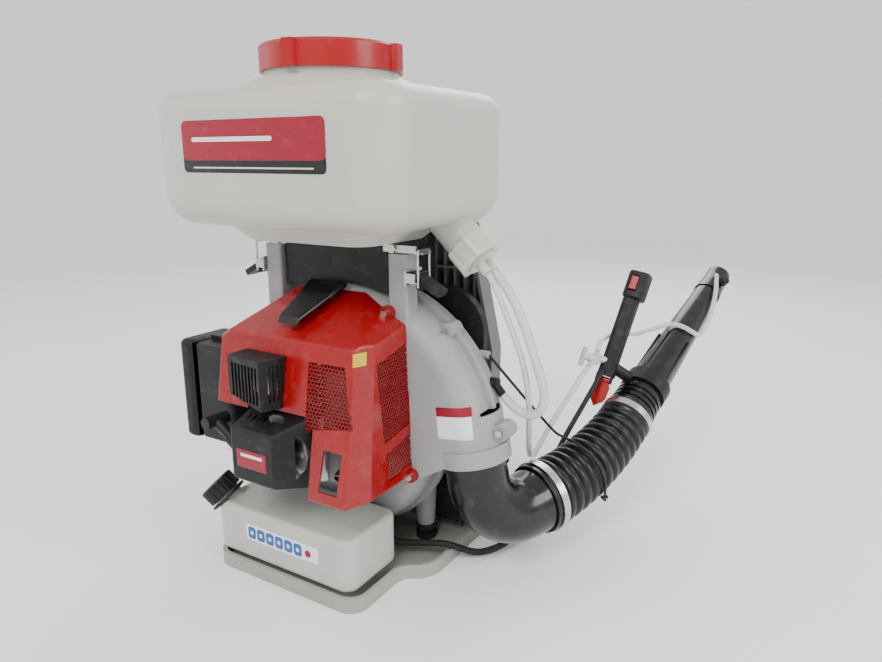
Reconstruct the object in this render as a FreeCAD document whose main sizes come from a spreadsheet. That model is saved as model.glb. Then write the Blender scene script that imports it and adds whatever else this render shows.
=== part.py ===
"""Petrol knapsack mist blower, modelled in millimetres.

Frame: origin on the ground under the middle of the base, +Z up, +Y towards the
wearer's back, -Y towards the engine, +X towards the air duct.
"""
import FreeCAD, Part
import math
import os
from FreeCAD import Placement, Rotation, Vector

doc = FreeCAD.newDocument("MistBlower")

# ------------------------------------------------------------ driving sizes
SIZES = {
    "rim_height": 20, "floor_thick": 5, "rim_thick": 5, "front_half": 123, "rear_half": 159,
    "base_front": 135, "base_rear": 150,
    "crank_z": 192, "crank_r": 8, "shaft_gap": 0.05, "shaft_length": 176, "web_r": 28, "web_thick": 8,
    "pin_r": 6, "pin_length": 14,
    "scroll_front": 10, "scroll_rear": 84, "parting_y": 36, "scroll_wall": 3,
    "scroll_start": 150, "scroll_growth": 73, "duct_r": 46, "ring_r": 49.5, "ring_height": 22,
    "impeller_r": 134, "impeller_width": 52,
    "tank_width": 364, "tank_depth": 287, "tank_corner": 50, "tank_low": 466, "tank_high": 626,
    "tank_wall": 3, "neck_r": 84, "neck_low": 640, "neck_high": 668, "lid_r": 88.5, "lid_low": 649,
    "lid_high": 680, "lid_dish": 77, "tank_mid_x": 3, "spout_r": 25,
    "seat_half": 90.5, "seat_front": 4, "seat_rear": 108, "seat_low": 380, "seat_high": 444,
    "frame_thick": 4, "frame_rib_depth": 24, "frame_wall_y": 140, "rib_thick": 3,
    "cover_wall": 2.5, "fuel_wall": 2.5, "fuel_low": 20.5, "fuel_high": 92,
    "elbow_small_r": 41, "elbow_large_r": 46, "elbow_bend": 62, "elbow_wall": 3,
    "hose_large_r": 49, "hose_small_r": 39, "hose_wall": 3, "hose_length": 208,
    "tube_base_r": 35, "tube_end_r": 22, "tube_wall": 2, "tube_length": 345,
    "air_line": 12, "liquid_line": 8, "conduit": 10, "cable": 8, "strap_cord": 4,
    "pad_thick": 22, "pad_width": 220, "pad_height": 250,
}
sheet = doc.addObject("Spreadsheet::Sheet", "Sizes")
for row, (alias, value) in enumerate(SIZES.items(), start=1):
    sheet.set(f"A{row}", alias)
    sheet.set(f"B{row}", str(value))
    sheet.setAlias(f"B{row}", alias)
doc.recompute()

SUBPARTS = []
X_AXIS = Vector(1, 0, 0)
Y_AXIS = Vector(0, 1, 0)
Z_AXIS = Vector(0, 0, 1)


def size(alias):
    """One driving size, read from the sheet."""
    return float(getattr(sheet, alias))


# ------------------------------------------------------------ document helpers
def keep(obj, label, placement=None):
    """Names a document object as a sub-part, to be written out."""
    obj.Label = label
    if placement is not None:
        obj.Placement = placement
    SUBPARTS.append(obj)
    return obj


def bind(obj, **sizes):
    """Ties properties of an object to expressions on the sheet."""
    for name, expression in sizes.items():
        obj.setExpression(name, expression)
    return obj


def piece(label, shape):
    """A sub-part whose shape is worked out with Part's functions."""
    obj = doc.addObject("Part::Feature", label)
    obj.Shape = shape
    return keep(obj, label)


def box_feature(name, lengths, corner):
    obj = doc.addObject("Part::Box", name)
    bind(obj, Length=lengths[0], Width=lengths[1], Height=lengths[2])
    obj.Placement = Placement(Vector(*corner), Rotation())
    return obj


def cylinder_feature(name, radius, height, base, direction=Z_AXIS):
    obj = doc.addObject("Part::Cylinder", name)
    bind(obj, Radius=radius, Height=height)
    obj.Placement = Placement(base, Rotation(Z_AXIS, direction))
    return obj


def cut_feature(name, base, tool):
    obj = doc.addObject("Part::Cut", name)
    obj.Base = base
    obj.Tool = tool
    return obj


def fuse_feature(name, parts):
    obj = doc.addObject("Part::MultiFuse", name)
    obj.Shapes = parts
    return obj


def new_body(name):
    return doc.addObject("PartDesign::Body", name)


def plane_of(body, role):
    return next(item for item in body.Origin.OriginFeatures if item.Role == role)


def sketch_on(body, name, role, loops, lift=None):
    """A sketch on one of the body's own planes; lift is an expression."""
    sketch = body.newObject("Sketcher::SketchObject", name)
    sketch.AttachmentSupport = (plane_of(body, role), [""])
    sketch.MapMode = "FlatFace"
    if lift is not None:
        sketch.setExpression("AttachmentOffset.Base.z", lift)
    for loop in loops:
        for geometry in loop:
            sketch.addGeometry(geometry, False)
    return sketch


def pad(body, name, sketch, length, reverse=False):
    feature = body.newObject("PartDesign::Pad", name)
    feature.Profile = sketch
    feature.Reversed = reverse
    bind(feature, Length=length)
    sketch.Visibility = False
    return feature


def pocket(body, name, sketch, depth, reverse=False):
    feature = body.newObject("PartDesign::Pocket", name)
    feature.Profile = sketch
    feature.Reversed = reverse
    bind(feature, Length=depth)
    return feature


def revolve(body, name, sketch):
    feature = body.newObject("PartDesign::Revolution", name)
    feature.Profile = sketch
    feature.ReferenceAxis = (sketch, ["V_Axis"])
    feature.Angle = 360
    return feature


# ------------------------------------------------------------ shape helpers
def loop_through(points):
    """Line segments round a closed list of (x, y) points, for a sketch."""
    corners = [Vector(px, py, 0) for px, py in points]
    return [Part.LineSegment(a, b) for a, b in zip(corners, corners[1:] + corners[:1])]


def rounded_rectangle(half_x, half_y, radius, mid=(0, 0)):
    """Lines and quarter arcs of a rectangle with round corners."""
    geometry = []
    for turn in range(4):
        wide, deep = (half_x, half_y) if turn % 2 == 0 else (half_y, half_x)
        spin = Rotation(Z_AXIS, 90 * turn)
        shift = Vector(mid[0], mid[1], 0)
        low = Vector(wide, radius - deep, 0)
        high = Vector(wide, deep - radius, 0)
        bend = Vector(wide - radius * (1 - math.sqrt(0.5)), deep - radius * (1 - math.sqrt(0.5)), 0)
        end = Vector(wide - radius, deep, 0)
        place = [shift + spin.multVec(item) for item in (low, high, bend, end)]
        geometry.append(Part.LineSegment(place[0], place[1]))
        geometry.append(Part.Arc(place[1], place[2], place[3]))
    return geometry


def wire_of(geometry):
    return Part.Wire(Part.__sortEdges__([item.toShape() for item in geometry]))


def face_of(geometry):
    return Part.Face(wire_of(geometry))


def polygon_face(points):
    return Part.Face(Part.makePolygon([Vector(*item) for item in points + points[:1]]))


def block(low, high):
    """A box between two corners."""
    return Part.makeBox(high[0] - low[0], high[1] - low[1], high[2] - low[2], Vector(*low))


def soft_block(low, high, upright, flat=0):
    """A box with rounded upright edges and, where flat is given, all others."""
    shape = block(low, high)
    edges = [e for e in shape.Edges if abs(e.tangentAt(e.FirstParameter).z) > 0.9]
    shape = shape.makeFillet(upright, edges)
    if flat:
        level = [e for e in shape.Edges if e.BoundBox.ZLength < 1e-6]
        shape = shape.makeFillet(flat, level)
    return shape


def rod(start, end, radius):
    """A round bar between two points."""
    axis = Vector(*end) - Vector(*start)
    return Part.makeCylinder(radius, axis.Length, Vector(*start), axis)


def taper(start, end, start_r, end_r):
    """A round bar whose radius changes along its length."""
    axis = Vector(*end) - Vector(*start)
    return Part.makeCone(start_r, end_r, axis.Length, Vector(*start), axis)


def along(point, direction, distance):
    return point + direction * distance


def fused(shapes):
    result = shapes[0].multiFuse(shapes[1:])
    return result.removeSplitter()


def convex_solid(low, high, planes, inset=0.0):
    """A box cut by planes; each plane is a point and its outward normal."""
    inner_low = [value + inset for value in low]
    inner_high = [value - inset for value in high]
    shape = block(inner_low, inner_high)
    reach = 1000.0
    for point, normal in planes:
        direction = Vector(*normal).normalize()
        cutter = Part.makeBox(reach, reach, reach, Vector(-reach / 2, -reach / 2, 0))
        cutter.Placement = Placement(Vector(*point) - direction * inset, Rotation(Z_AXIS, direction))
        shape = shape.cut(cutter)
    return shape


def unit(*parts):
    return Vector(*parts).normalize()


# ------------------------------------------------------------ shared places
CRANK = Vector(0, 0, size("crank_z"))
PARTING = size("parting_y")
OUTLET = Vector(191, PARTING, 176)
OUTLET_AXIS = unit(0.19, 0, -0.982)
ELBOW_EXIT = unit(0.395, 0.908, 0.14)
WAND_AXIS = unit(0.149, 0.874, 0.464)


def bend_frame(start, first, last, radius):
    """End, middle and far point of an arc that turns from one direction to another."""
    angle = math.acos(first.dot(last))
    inward = (last - first * math.cos(angle)).normalize()
    centre = start + inward * radius

    def at(share):
        turn = angle * share
        return centre + (first * math.sin(turn) - inward * math.cos(turn)) * radius

    return centre, at(0.5), at(1.0)


ELBOW_TOP = along(OUTLET, OUTLET_AXIS, 2)
ELBOW_BEND_START = along(ELBOW_TOP, OUTLET_AXIS, 40)
_, ELBOW_MIDDLE, ELBOW_BEND_END = bend_frame(
    ELBOW_BEND_START, OUTLET_AXIS, ELBOW_EXIT, size("elbow_bend"))
HOSE_START = along(ELBOW_BEND_END, ELBOW_EXIT, 36)


def hose_turn():
    """The bellows hose bends evenly from the elbow's axis to the wand's."""
    angle = math.acos(ELBOW_EXIT.dot(WAND_AXIS))
    radius = size("hose_length") / angle
    return bend_frame(HOSE_START, ELBOW_EXIT, WAND_AXIS, radius)


HOSE_CENTRE, HOSE_MIDDLE, HOSE_END = hose_turn()
WAND_BASE = HOSE_END
GRIP_FOOT = Vector(272, 340, 226)
GRIP_AXIS = unit(21, 48, 123)


# ------------------------------------------------------------ base and frame
def base_outline(inset):
    """The base from above: narrow under the engine, wide under the fan."""
    front, rear = size("base_front") - inset, size("base_rear") - inset
    narrow, wide = size("front_half") - inset, size("rear_half") - inset
    corner = 25 - inset / 2
    geometry = []
    for side in (1, -1):
        walk = [(narrow - corner, -front), (narrow - 0.29 * corner, 0.29 * corner - front),
                (narrow, corner - front), (narrow, -52), (narrow + 4, -37), (narrow + 14, -28),
                (wide - 7, -14), (wide, 8), (wide, rear - corner),
                (wide - 0.29 * corner, rear - 0.29 * corner), (wide - corner, rear)]
        spots = [Vector(side * px, py, 0) for px, py in walk]
        geometry.append(Part.Arc(spots[0], spots[1], spots[2]))
        geometry.append(Part.LineSegment(spots[2], spots[3]))
        geometry.append(Part.Arc(spots[3], spots[4], spots[5]))
        geometry.append(Part.Arc(spots[5], spots[6], spots[7]))
        geometry.append(Part.LineSegment(spots[7], spots[8]))
        geometry.append(Part.Arc(spots[8], spots[9], spots[10]))
    for py, half in ((-front, narrow - corner), (rear, wide - corner)):
        geometry.append(Part.LineSegment(Vector(-half, py, 0), Vector(half, py, 0)))
    return geometry


def base_tray():
    body = new_body("BaseTray")
    outline = sketch_on(body, "TrayOutline", "XY_Plane", [base_outline(0)])
    pad(body, "TrayPad", outline, "Sizes.rim_height")
    doc.recompute()
    whole = body.Shape.Volume
    hollow = sketch_on(body, "TrayHollow", "XY_Plane", [base_outline(size("rim_thick"))],
                       "Sizes.floor_thick")
    pocket(body, "TrayPocket", hollow, "Sizes.rim_height", reverse=True)
    doc.recompute()
    assert body.Shape.Volume < 0.6 * whole
    keep(body, "base_tray")


def back_frame():
    """A ribbed plastic panel that stands up behind the fan and the tank."""
    rear = size("frame_wall_y") + size("frame_thick")
    front = size("frame_wall_y") - size("frame_rib_depth")
    half_outline = [(128, size("floor_thick")), (128, 22), (172, 40), (175, 290), (142, 440), (137, 462)]
    outline = half_outline + [(-px, pz) for px, pz in reversed(half_outline)]
    panel = polygon_face([(px, rear, pz) for px, pz in outline])
    inner_outline = [(px - math.copysign(5, px), pz) for px, pz in outline]
    inner_outline = [(px, min(max(pz, 11), 456)) for px, pz in inner_outline]
    inner = polygon_face([(px, rear, pz) for px, pz in inner_outline])
    wall = panel.extrude(Vector(0, -size("frame_thick"), 0))
    rim = panel.extrude(Vector(0, front - rear, 0)).cut(inner.extrude(Vector(0, front - rear, 0)))
    space = inner.extrude(Vector(0, front - rear, 0))
    thick = size("rib_thick")
    ribs = []
    for step in range(-9, 10):
        mid = step * 16.0
        ribs.append(block((mid - thick / 2, front + 4, 6), (mid + thick / 2, rear, 461)).common(space))
    for level in (30, 215, 398):
        ribs.append(block((-170, front + 2, level), (170, rear, level + thick)).common(space))
    frame = fused([wall, rim] + ribs)
    piece("back_frame", frame)


def carrying_harness():
    """The wearer's cushion and two shoulder straps, as plain soft solids."""
    rear = size("frame_wall_y") + size("frame_thick") + 0.3
    cushion = box_feature("Cushion", ("Sizes.pad_width", "Sizes.pad_thick", "Sizes.pad_height"),
                          (-size("pad_width") / 2, rear, 170))
    rounded = doc.addObject("Part::Fillet", "CushionEdges")
    rounded.Base = cushion
    doc.recompute()
    rounded.Edges = [(number, 8.0, 8.0) for number in range(1, len(cushion.Shape.Edges) + 1)]
    keep(rounded, "back_pad")
    straps = []
    for side in (-1, 1):
        outer = Part.Arc(Vector(0, rear, 452), Vector(0, rear + 92, 290), Vector(0, rear, 66))
        inner = Part.Arc(Vector(0, rear, 444), Vector(0, rear + 85, 290), Vector(0, rear, 74))
        ends = [Part.LineSegment(Vector(0, rear, 452), Vector(0, rear, 444)),
                Part.LineSegment(Vector(0, rear, 74), Vector(0, rear, 66))]
        ribbon = Part.Face(Part.Wire(Part.__sortEdges__(
            [item.toShape() for item in [outer, inner] + ends])))
        strap = ribbon.extrude(Vector(48, 0, 0))
        strap.translate(Vector(side * 62 - 24, 0, 0))
        straps.append(strap)
    piece("shoulder_straps", Part.makeCompound(straps))


MOUNT_SPOTS = [(-52, 4), (52, 4), (-95, 70), (95, 70)]


def rubber_mounts():
    """Four anti-vibration rubber buffers between the base and the fan housing."""
    parts = []
    for px, py in MOUNT_SPOTS:
        low = size("floor_thick")
        parts.append(fused([Part.makeCylinder(15, 9, Vector(px, py, low)),
                            Part.makeCylinder(11, 14, Vector(px, py, low + 5)),
                            Part.makeCylinder(15, 8, Vector(px, py, low + 14))]))
    piece("rubber_mounts", Part.makeCompound(parts))


# ------------------------------------------------------------ fan
def scroll_face(offset, y_level):
    """The spiral of the fan housing, growing clockwise towards the outlet."""
    start_angle, sweep, count = -20.0, 340.0, 24
    spots = []
    for step in range(count + 1):
        share = step / count
        radius = size("scroll_start") + size("scroll_growth") * share ** 1.5 + offset
        turn = math.radians(start_angle - sweep * share)
        spots.append(CRANK + Vector(radius * math.cos(turn), y_level, radius * math.sin(turn)))
    curve = Part.BSplineCurve()
    curve.interpolate(spots)
    closing = Part.LineSegment(spots[-1], spots[0]).toShape()
    return Part.Face(Part.Wire([curve.toShape(), closing]))


def scroll_solid(offset, front, rear, round_r):
    solid = scroll_face(offset, front).extrude(Vector(0, rear - front, 0))
    if round_r:
        rims = [e for e in solid.Edges if e.BoundBox.YLength < 1e-6 and e.Length > 400]
        solid = solid.makeFillet(round_r, rims)
    return solid


def duct_solid(radius, top, bottom):
    """The outlet neck, from inside the scroll down to the ring."""
    return rod(along(OUTLET, OUTLET_AXIS, top), along(OUTLET, OUTLET_AXIS, bottom), radius)


FLANGE_BOLTS = [(155, 333, 11), (236, 212, 11), (-128, 336, 11), (-186, 150, 11), (-60, 26, 11),
                (20, 405, 9)]


def fan_housing():
    """The scroll casing in two halves, with flange, bosses, pillars and legs."""
    front, rear, wall = -size("scroll_front"), size("scroll_rear"), size("scroll_wall")
    outer = [scroll_solid(0, front, rear, 26),
             scroll_solid(7, PARTING - 4, PARTING + 4, 0),
             duct_solid(size("duct_r"), -52, 14),
             duct_solid(size("ring_r"), -10, size("ring_height") - 10)]
    for px, pz, radius in FLANGE_BOLTS:
        outer.append(rod((px, PARTING - 14, pz), (px, PARTING + 14, pz), radius))
    for side in (-1, 1):
        outer.append(soft_block((side * 105 - 14, front, 330), (side * 105 + 14, front + 26, 432), 3))
    for px, py in MOUNT_SPOTS:
        reach = 82 if abs(px) > 90 else 58
        outer.append(taper((px, py, size("floor_thick") + 22), (px * 0.97, py, reach), 13, 18))
    engine_pad = rod((0, front - 8, CRANK.z), (0, front + 4, CRANK.z), 70)
    outer.append(engine_pad)
    outer.append(rod((180, 72, 296), (193, 72, 296), 5))
    solid = fused(outer)
    hollow = fused([scroll_solid(-wall, front + wall, rear - wall, 23),
                    duct_solid(size("duct_r") - wall, -56, 40)])
    solid = solid.cut(hollow)
    solid = solid.cut(duct_solid(size("elbow_small_r") + 0.4, -6, 40))
    solid = solid.cut(duct_solid(45.5, 14.1, 60))
    bores = [rod((0, front - 20, CRANK.z), (0, 20, CRANK.z), 24),
             rod((0, rear - 20, CRANK.z), (0, rear + 20, CRANK.z), 98),
             rod((190, 62, 262), (216, 62, 262), 8.05)]
    for px, pz, radius in FLANGE_BOLTS:
        bores.append(rod((px, PARTING - 30, pz), (px, PARTING + 30, pz), 2.6))
    for cutter in bores:
        solid = solid.cut(cutter)
    reach = 700
    front_half = solid.common(block((-reach, -reach, -reach), (reach, PARTING, reach)))
    rear_half = solid.common(block((-reach, PARTING, -reach), (reach, reach, reach)))
    piece("fan_housing_front", largest(front_half))
    piece("fan_housing_rear", largest(rear_half))


def largest(shape):
    """The biggest solid of a result, without stray crumbs."""
    return max(shape.Solids, key=lambda item: item.Volume)


def intake_guard():
    """The black rear cover with radial slots over the fan's intake."""
    plate = face_of(rounded_rectangle(178, 174, 60)).extrude(Vector(0, 0, 13))
    plate.Placement = Placement(Vector(0, 98, 205), Rotation(X_AXIS, 90))
    slots = []
    count = 28
    for step in range(count):
        slot = block((52, -2, -3.6), (166 if step % 2 else 140, 30, 3.6))
        slot.Placement = Placement(Vector(0, 80, CRANK.z), Rotation(Y_AXIS, 360.0 * step / count))
        slots.append(slot)
    hollow = rod((0, 84, CRANK.z), (0, 94, CRANK.z), 120)
    guard = plate.cut(hollow)
    for slot in slots:
        guard = guard.cut(slot)
    piece("intake_guard", largest(guard))


def impeller():
    """A closed-back fan wheel with curved blades."""
    low, high = 12.0, 12.0 + size("impeller_width")
    wheel = [rod((0, low, CRANK.z), (0, low + 3, CRANK.z), size("impeller_r")),
             rod((0, low - 8, CRANK.z), (0, low + 26, CRANK.z), 20)]
    blade_count = 12
    for step in range(blade_count):
        outer = Part.Arc(Vector(26, 0, 0), Vector(86, 0, 22), Vector(size("impeller_r") - 2, 0, 12))
        inner = Part.Arc(Vector(26, 0, -2.5), Vector(86, 0, 19), Vector(size("impeller_r") - 2, 0, 9))
        ends = [Part.LineSegment(Vector(26, 0, 0), Vector(26, 0, -2.5)),
                Part.LineSegment(outer.EndPoint, inner.EndPoint)]
        blade = Part.Face(Part.Wire(Part.__sortEdges__(
            [item.toShape() for item in [outer, inner] + ends]))).extrude(Vector(0, high - low, 0))
        blade.Placement = Placement(Vector(0, low, CRANK.z), Rotation(Y_AXIS, 360.0 * step / blade_count))
        wheel.append(blade)
    solid = fused(wheel)
    bore = rod((0, -20, CRANK.z), (0, 90, CRANK.z), size("crank_r"))
    piece("impeller", solid.cut(bore))


def crankshaft():
    """Shaft with two crank webs; it carries the fan and the flywheel."""
    shaft = cylinder_feature("Shaft", "Sizes.crank_r", "Sizes.shaft_length", Vector(0, -124, CRANK.z), Y_AXIS)
    webs = []
    for number, start in enumerate((-66, -46)):
        web = cylinder_feature(f"Web{number}", "Sizes.web_r", "Sizes.web_thick", Vector(0, start, CRANK.z), Y_AXIS)
        webs.append(web)
    crank_pin = cylinder_feature("CrankPin", "Sizes.pin_r", "Sizes.pin_length", Vector(0, -59, CRANK.z + 17), Y_AXIS)
    whole = fuse_feature("CrankshaftSolid", [shaft] + webs + [crank_pin])
    keep(whole, "crankshaft")


def flywheel():
    """Finned cooling flywheel behind the starter."""
    disc = rod((0, -122, CRANK.z), (0, -108, CRANK.z), 44)
    fins = [disc]
    for step in range(10):
        fin = block((18, 0, -1.2), (43, 6, 1.2))
        fin.Placement = Placement(Vector(0, -127, CRANK.z), Rotation(Y_AXIS, 36.0 * step))
        fins.append(fin)
    piece("flywheel", fused(fins).cut(rod((0, -140, CRANK.z), (0, -90, CRANK.z), size("crank_r"))))


# ------------------------------------------------------------ engine
def crankcase():
    body = soft_block((-46, -92, 142), (46, -20, 234), 10, 4)
    flange = rod((0, -26, CRANK.z), (0, -18.2, CRANK.z), 62)
    cavity = rod((0, -71, CRANK.z), (0, -33, CRANK.z), 34)
    bore = rod((0, -120, CRANK.z), (0, 10, CRANK.z), size("crank_r") + size("shaft_gap"))
    mouth = Part.makeCylinder(17, 40, Vector(0, -52, CRANK.z + 20))
    piece("crankcase", fused([body, flange]).cut(cavity).cut(bore).cut(mouth))


def cylinder_head():
    """Air-cooled cylinder with stacked fins."""
    parts = [Part.makeCylinder(24, 94, Vector(0, -52, 234.2))]
    fin_count = 11
    for step in range(fin_count):
        low = 246 + step * 7.4
        parts.append(soft_block((-42, -88, low), (42, -16, low + 2.6), 12))
    bore = Part.makeCylinder(18, 76, Vector(0, -52, 230))
    plug_hole = Part.makeCylinder(5, 60, Vector(0, -52, 300))
    piece("cylinder", fused(parts).cut(bore).cut(plug_hole))


def spark_plug():
    parts = [Part.makeCylinder(4.95, 17, Vector(0, -52, 312)), Part.makeCylinder(9, 7, Vector(0, -52, 328.4)),
             Part.makeCylinder(5.5, 14, Vector(0, -52, 335)), Part.makeCylinder(9, 8, Vector(0, -52, 341)),
             rod((0, -52, 345), (-22, -44, 345), 4)]
    piece("spark_plug", fused(parts))


def muffler():
    body = soft_block((50, -100, 150), (104, -26.4, 300), 12, 5)
    stub = rod((88, -101, 176), (88, -118, 170), 7)
    pipe = rod((42.3, -52, 268), (52, -52, 268), 14)
    room = soft_block((52, -98, 152), (102, -28.4, 298), 10, 3)
    port = rod((42, -52, 268), (54, -52, 268), 11)
    outlet = rod((88, -95, 178.1), (88, -119, 169.6), 5)
    piece("muffler", largest(fused([body, pipe, stub]).cut(fused([room, port, outlet]))))


def carburettor():
    throat = rod((-42.3, -52, 268), (-112, -52, 268), 14)
    bowl = soft_block((-98, -76, 238), (-58, -28, 296), 6, 3)
    bore = rod((-42, -52, 268), (-113, -52, 268), 9)
    piece("carburettor", fused([throat, bowl]).cut(bore))


def air_filter():
    """Filter box on the engine's left side, in a base and a clip-on cover."""
    low_z, high_z, front, rear = 158, 302, -100, -14
    base = soft_block((-180, front + 3, low_z + 3), (-112.3, rear - 3, high_z - 3), 10, 4)
    base = base.cut(soft_block((-181, front + 6, low_z + 6), (-118, rear - 6, high_z - 6), 8))
    base = base.cut(rod((-125, -52, 268), (-100, -52, 268), 14.2))
    clip = soft_block((-176, -70, high_z - 5), (-142, -42, high_z + 4), 3)
    piece("filter_base", fused([base, clip]))
    cover = soft_block((-210, front, low_z), (-180.3, rear, high_z), 12, 8)
    cover = cover.cut(soft_block((-206, front + 4, low_z + 4), (-170, rear - 4, high_z - 4), 9))
    piece("filter_cover", cover)


COVER_LOW = (-112, -138, 140)
COVER_HIGH = (125, 0, 381)
COVER_PLANES = [
    ((0, -138, 140), (0, -191, 33)),
    ((125, 0, 140), (191, 0, 7)),
    ((112, -138, 140), (44, -16, 3.7)),
    ((0, -105, 331), (0, -50, 105)),
    ((-60, 0, 379), (-33, -12, 52)),
    ((52, 0, 378), (33, -10, 66)),
]


def engine_cover():
    """The red shell over the engine, open at the back, underside and lower left."""
    planes = COVER_PLANES
    outer = convex_solid(COVER_LOW, COVER_HIGH, planes)
    outer = outer.makeFillet(5, outer.Edges)
    lugs = [rod((92, -10, 357), (92, -19, 357), 10), rod((126, -10, 142), (126, -18, 142), 9)]
    outer = outer.fuse(lugs[0]).fuse(lugs[1])
    wall = size("cover_wall")
    inner = convex_solid((COVER_LOW[0] + wall, COVER_LOW[1] + wall, 100),
                         (COVER_HIGH[0] - wall, 50, COVER_HIGH[2] - wall),
                         [(tuple(Vector(*point) - Vector(*normal).normalize() * wall), normal)
                          for point, normal in planes])
    shell = outer.cut(inner)
    openings = [block((-130, -200, 100), (-46, 20, 236)),
                block((-54, -200, 100), (56, -112, 242)),
                polygon_face([(42, -200, 309), (98, -200, 310), (112, -200, 239), (44, -200, 226)])
                .extrude(Vector(0, 120, 0)),
                polygon_face([(200, -76, 307), (200, -8, 322), (200, -12, 214), (200, -68, 204)])
                .extrude(Vector(-110, 0, 0)),
                polygon_face([(200, -66, 190), (200, -10, 200), (200, -10, 158), (200, -62, 152)])
                .extrude(Vector(-110, 0, 0)),
                polygon_face([(75, -200, 208), (103, -200, 208), (100, -200, 156), (71, -200, 156)])
                .extrude(Vector(0, 120, 0)),
                block((-58, -200, 256), (-4, -100, 300)),
                rod((92, -30, 357), (92, 10, 357), 2.6), rod((126, -30, 142), (126, 10, 142), 2.6),
                block((-150, -70, 250), (-100, -34, 286)),
                scroll_solid(0.4, -size("scroll_front") - 0.4, size("scroll_rear"), 26),
                block((90.6, -10.4, 320), (119.4, 20, 440)), block((-119.4, -10.4, 320), (-90.6, 20, 440))]
    for cutter in openings:
        shell = shell.cut(cutter)
    piece("engine_cover", largest(shell))


def muffler_guard():
    """Black louvred guard that stands proud of the cover's left front."""
    low, high = (-62, -150, 246), (6, -100, 311)
    planes = [((-1, -150, 250), (30, -8, 0)), ((-62, -142, 250), (-4, -30, 0)),
              ((0, -150, 248), (-6, 0, -30))]
    outer = convex_solid(low, high, planes)
    inner = convex_solid(low, (high[0], -80, high[2]), planes, 2.5)
    guard = outer.cut(inner)
    cover_face = convex_solid((-200, -300, 0), (200, 0, 500), [((0, -138.4, 140), (0, 191, -33))])
    guard = guard.common(cover_face)
    for step in range(8):
        slot_x = -55 + step * 6.6
        guard = guard.cut(block((slot_x, -160, 256), (slot_x + 4, -132, 303)))
    for step in range(4):
        slot_y = -139 + step * 6.0
        guard = guard.cut(block((-2, slot_y, 258), (20, slot_y + 3.4, 303)))
    piece("muffler_guard", largest(guard))


def plug_cover():
    """Glossy black blister over the spark plug on the cover's roof."""
    roof = [(-36, -12, 384), (28, -12, 384), (14, -96, 348), (-20, -96, 348)]
    plan = polygon_face(roof)
    solid = plan.extrude(Vector(0, 4, 9))
    solid = solid.makeFillet(3, [e for e in solid.Edges if e.CenterOfMass.z > 352])
    below = [COVER_PLANES[3], COVER_PLANES[4], COVER_PLANES[5]]
    roof_space = convex_solid((-200, -300, 0), (200, 100, 381.3),
                              [(tuple(Vector(*p) + Vector(*n).normalize() * 0.3), n) for p, n in below])
    piece("plug_cover", largest(solid.cut(roof_space)))


def starter():
    """Recoil starter housing, its rope and the pull handle."""
    low, high = (-52, -160, 146), (48, -113, 240)
    planes = [((-52, -113, 146), (-47, -4, 0)), ((48, -113, 146), (47, -24, 0)),
              ((0, -113, 240), (0, -15, 47)), ((0, -113, 146), (0, -10, -47))]
    outer = convex_solid(low, high, planes)
    outer = outer.makeFillet(5, [e for e in outer.Edges if e.CenterOfMass.y < -115])
    inner = convex_solid(low, (high[0], -100, high[2]), planes, 3)
    guide_start, guide_end = ROPE_EXIT - ROPE_AXIS * 14, ROPE_EXIT + ROPE_AXIS * 16
    guide = rod(tuple(guide_start), tuple(guide_end), 9)
    housing = fused([outer, guide]).cut(inner)
    housing = housing.cut(rod(tuple(guide_start - ROPE_AXIS * 20), tuple(guide_end + ROPE_AXIS), 3.2))
    for step in range(5):
        housing = housing.cut(block((-38 + step * 9, -170, 231), (-34 + step * 9, -130, 250)))
    housing = housing.cut(rod((0, -135, CRANK.z), (0, -100, CRANK.z), 46))
    piece("starter_housing", largest(housing))
    rope_low, rope_high = ROPE_EXIT - ROPE_AXIS * 58, ROPE_EXIT + ROPE_AXIS * 30
    piece("starter_rope", rod(tuple(rope_low), tuple(rope_high), 1.8))
    neck_low, neck_high = ROPE_EXIT + ROPE_AXIS * 17, ROPE_EXIT + ROPE_AXIS * 40
    head_high = ROPE_EXIT + ROPE_AXIS * 58
    neck = taper(tuple(neck_low), tuple(neck_high + ROPE_AXIS * 3), 6, 8)
    across = ROPE_AXIS.cross(Z_AXIS).normalize()
    head = rod(tuple((neck_high + head_high) * 0.5 - across * 17),
               tuple((neck_high + head_high) * 0.5 + across * 17), 8.5)
    handle = fused([neck, head]).cut(rod(tuple(ROPE_EXIT), tuple(rope_high), 1.8))
    piece("starter_handle", handle)


ROPE_EXIT = Vector(-52, -143, 192)
ROPE_AXIS = unit(-0.86, 0.06, 0.5)


# ------------------------------------------------------------ fuel
FUEL_NECK = Vector(-106, -98, 70)
FUEL_AXIS = unit(-0.62, -0.3, 0.72)


def fuel_tank():
    low, high = (-124, -128, size("fuel_low")), (110, -22, size("fuel_high"))
    wall = size("fuel_wall")
    neck = [rod(tuple(FUEL_NECK), tuple(along(FUEL_NECK, FUEL_AXIS, 42)), 19)]
    outer = fused([soft_block(low, high, 18, 7)] + neck)
    room = fused([soft_block([v + wall for v in low], [v - wall for v in high], 15.5, 4.5),
                  rod(tuple(along(FUEL_NECK, FUEL_AXIS, -20)), tuple(along(FUEL_NECK, FUEL_AXIS, 60)), 16)])
    room = room.common(fused([soft_block([v + wall for v in low], [v - wall for v in high], 15.5, 4.5),
                              rod(tuple(FUEL_NECK), tuple(along(FUEL_NECK, FUEL_AXIS, 60)), 16)]))
    tank = outer.cut(room)
    feet = [block((px - 12, -90, size("floor_thick")), (px + 12, -50, size("fuel_low") + 1))
            for px in (-80, 70)]
    piece("fuel_tank", fused([tank] + feet))


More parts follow.
